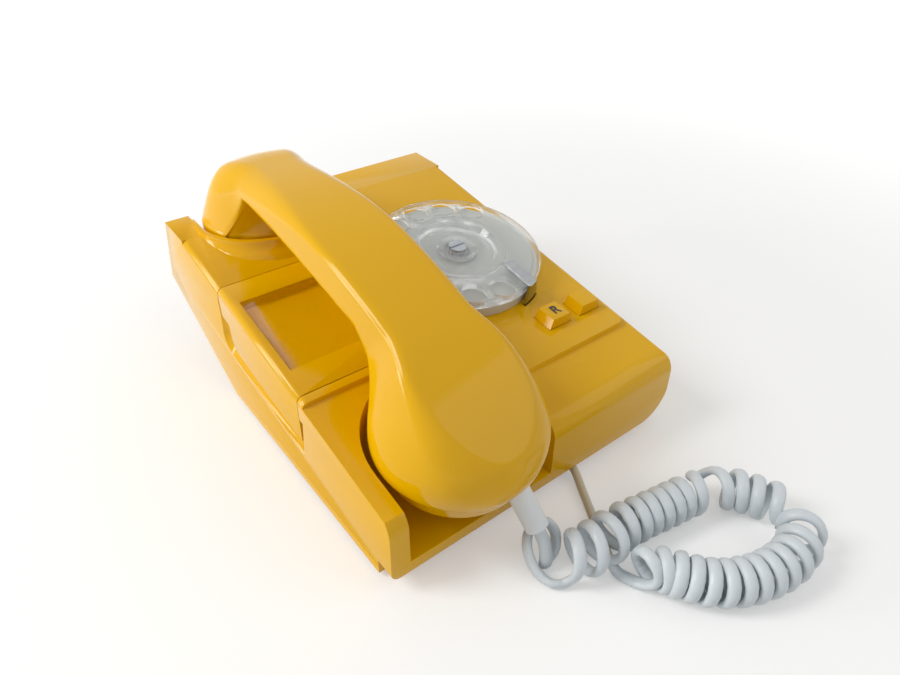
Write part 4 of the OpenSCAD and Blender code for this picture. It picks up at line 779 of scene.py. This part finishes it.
# %% Stage
LIFT_NEAR, LIFT_FAR = 0.3, 0.75
LIFT_FROM, LIFT_TO = 0.15, 0.9
FLOOR_R = 6.0
WORLD_FOR_LIGHT = 0.5


def backdrop_rays(tree):
    """1 for camera, glossy and transmission rays, 0 for the light that falls on the object."""
    path = add_node(tree, "ShaderNodeLightPath")
    both = add_node(tree, "ShaderNodeMath", {"operation": "MAXIMUM"}, {
        0: path.outputs["Is Camera Ray"], 1: path.outputs["Is Glossy Ray"]})
    return add_node(tree, "ShaderNodeMath", {"operation": "MAXIMUM"}, {
        0: both.outputs[0], 1: path.outputs["Is Transmission Ray"]}).outputs[0]


def backdrop_paper():
    """Matt pale paper. What the camera sees of it is lifted to white, more so away from the object."""
    material, tree, shader = new_material("paper, pale", Roughness=0.9, **{
        "Base Color": linear("#dcdcda"), "Specular IOR Level": 0.1, "Emission Color": (1.0, 1.0, 1.0, 1.0)})
    at = add_node(tree, "ShaderNodeTexCoord").outputs["Object"]
    away = add_node(tree, "ShaderNodeVectorMath", {"operation": "LENGTH"}, {0: at}).outputs["Value"]
    lift = add_node(tree, "ShaderNodeMapRange", {"interpolation_type": "SMOOTHSTEP"}, {
        "Value": away, "From Min": LIFT_FROM, "From Max": LIFT_TO,
        "To Min": LIFT_NEAR, "To Max": LIFT_FAR})
    seen = add_node(tree, "ShaderNodeMath", {"operation": "MULTIPLY"}, {
        0: lift.outputs["Result"], 1: backdrop_rays(tree)})
    tree.links.new(seen.outputs[0], shader.inputs["Emission Strength"])
    return material


floor_mesh = bpy.data.meshes.new("floor")
floor_corners = [(x * FLOOR_R, y * FLOOR_R, 0) for x, y in ((-1, -1), (1, -1), (1, 1), (-1, 1))]
floor_mesh.from_pydata(floor_corners, [], [(0, 1, 2, 3)])
floor_mesh.materials.append(backdrop_paper())
plane = bpy.data.objects.new("floor", floor_mesh)
scene.collection.objects.link(plane)


def area_lamp(name, at, target, size, watts):
    """A white rectangular lamp that points from one place to another."""
    lamp = bpy.data.lights.new(name, "AREA")
    lamp.shape = "RECTANGLE"
    lamp.size, lamp.size_y = size
    lamp.energy = watts
    holder = bpy.data.objects.new(name, lamp)
    aim = Vector(target) - Vector(at)
    holder.matrix_world = Matrix.Translation(at) @ aim.to_track_quat("-Z", "Y").to_matrix().to_4x4()
    scene.collection.objects.link(holder)


area_lamp("window", (-0.75, 0.35, 0.8), (0, 0, 0.04), (0.36, 0.5), 6.0)
area_lamp("low_window", (-0.85, 0.5, 0.215), (-0.04, -0.03, 0.06), (0.22, 0.4), 2.6)
area_lamp("fill", (0.9, -0.9, 0.9), (0, 0, 0.03), (1.0, 1.0), 3.0)
world = bpy.data.worlds.new("studio")
world.use_nodes = True
world.node_tree.nodes.clear()
glow = add_node(world.node_tree, "ShaderNodeMapRange", inputs={
    "Value": backdrop_rays(world.node_tree), "To Min": WORLD_FOR_LIGHT, "To Max": 1.0})
sky = add_node(world.node_tree, "ShaderNodeBackground", inputs={
    "Color": linear("#ffffff"), "Strength": glow.outputs["Result"]})
add_node(world.node_tree, "ShaderNodeOutputWorld", inputs={"Surface": sky.outputs["Background"]})
scene.world = world
print("stage set with", len(bpy.data.lights), "lamps")
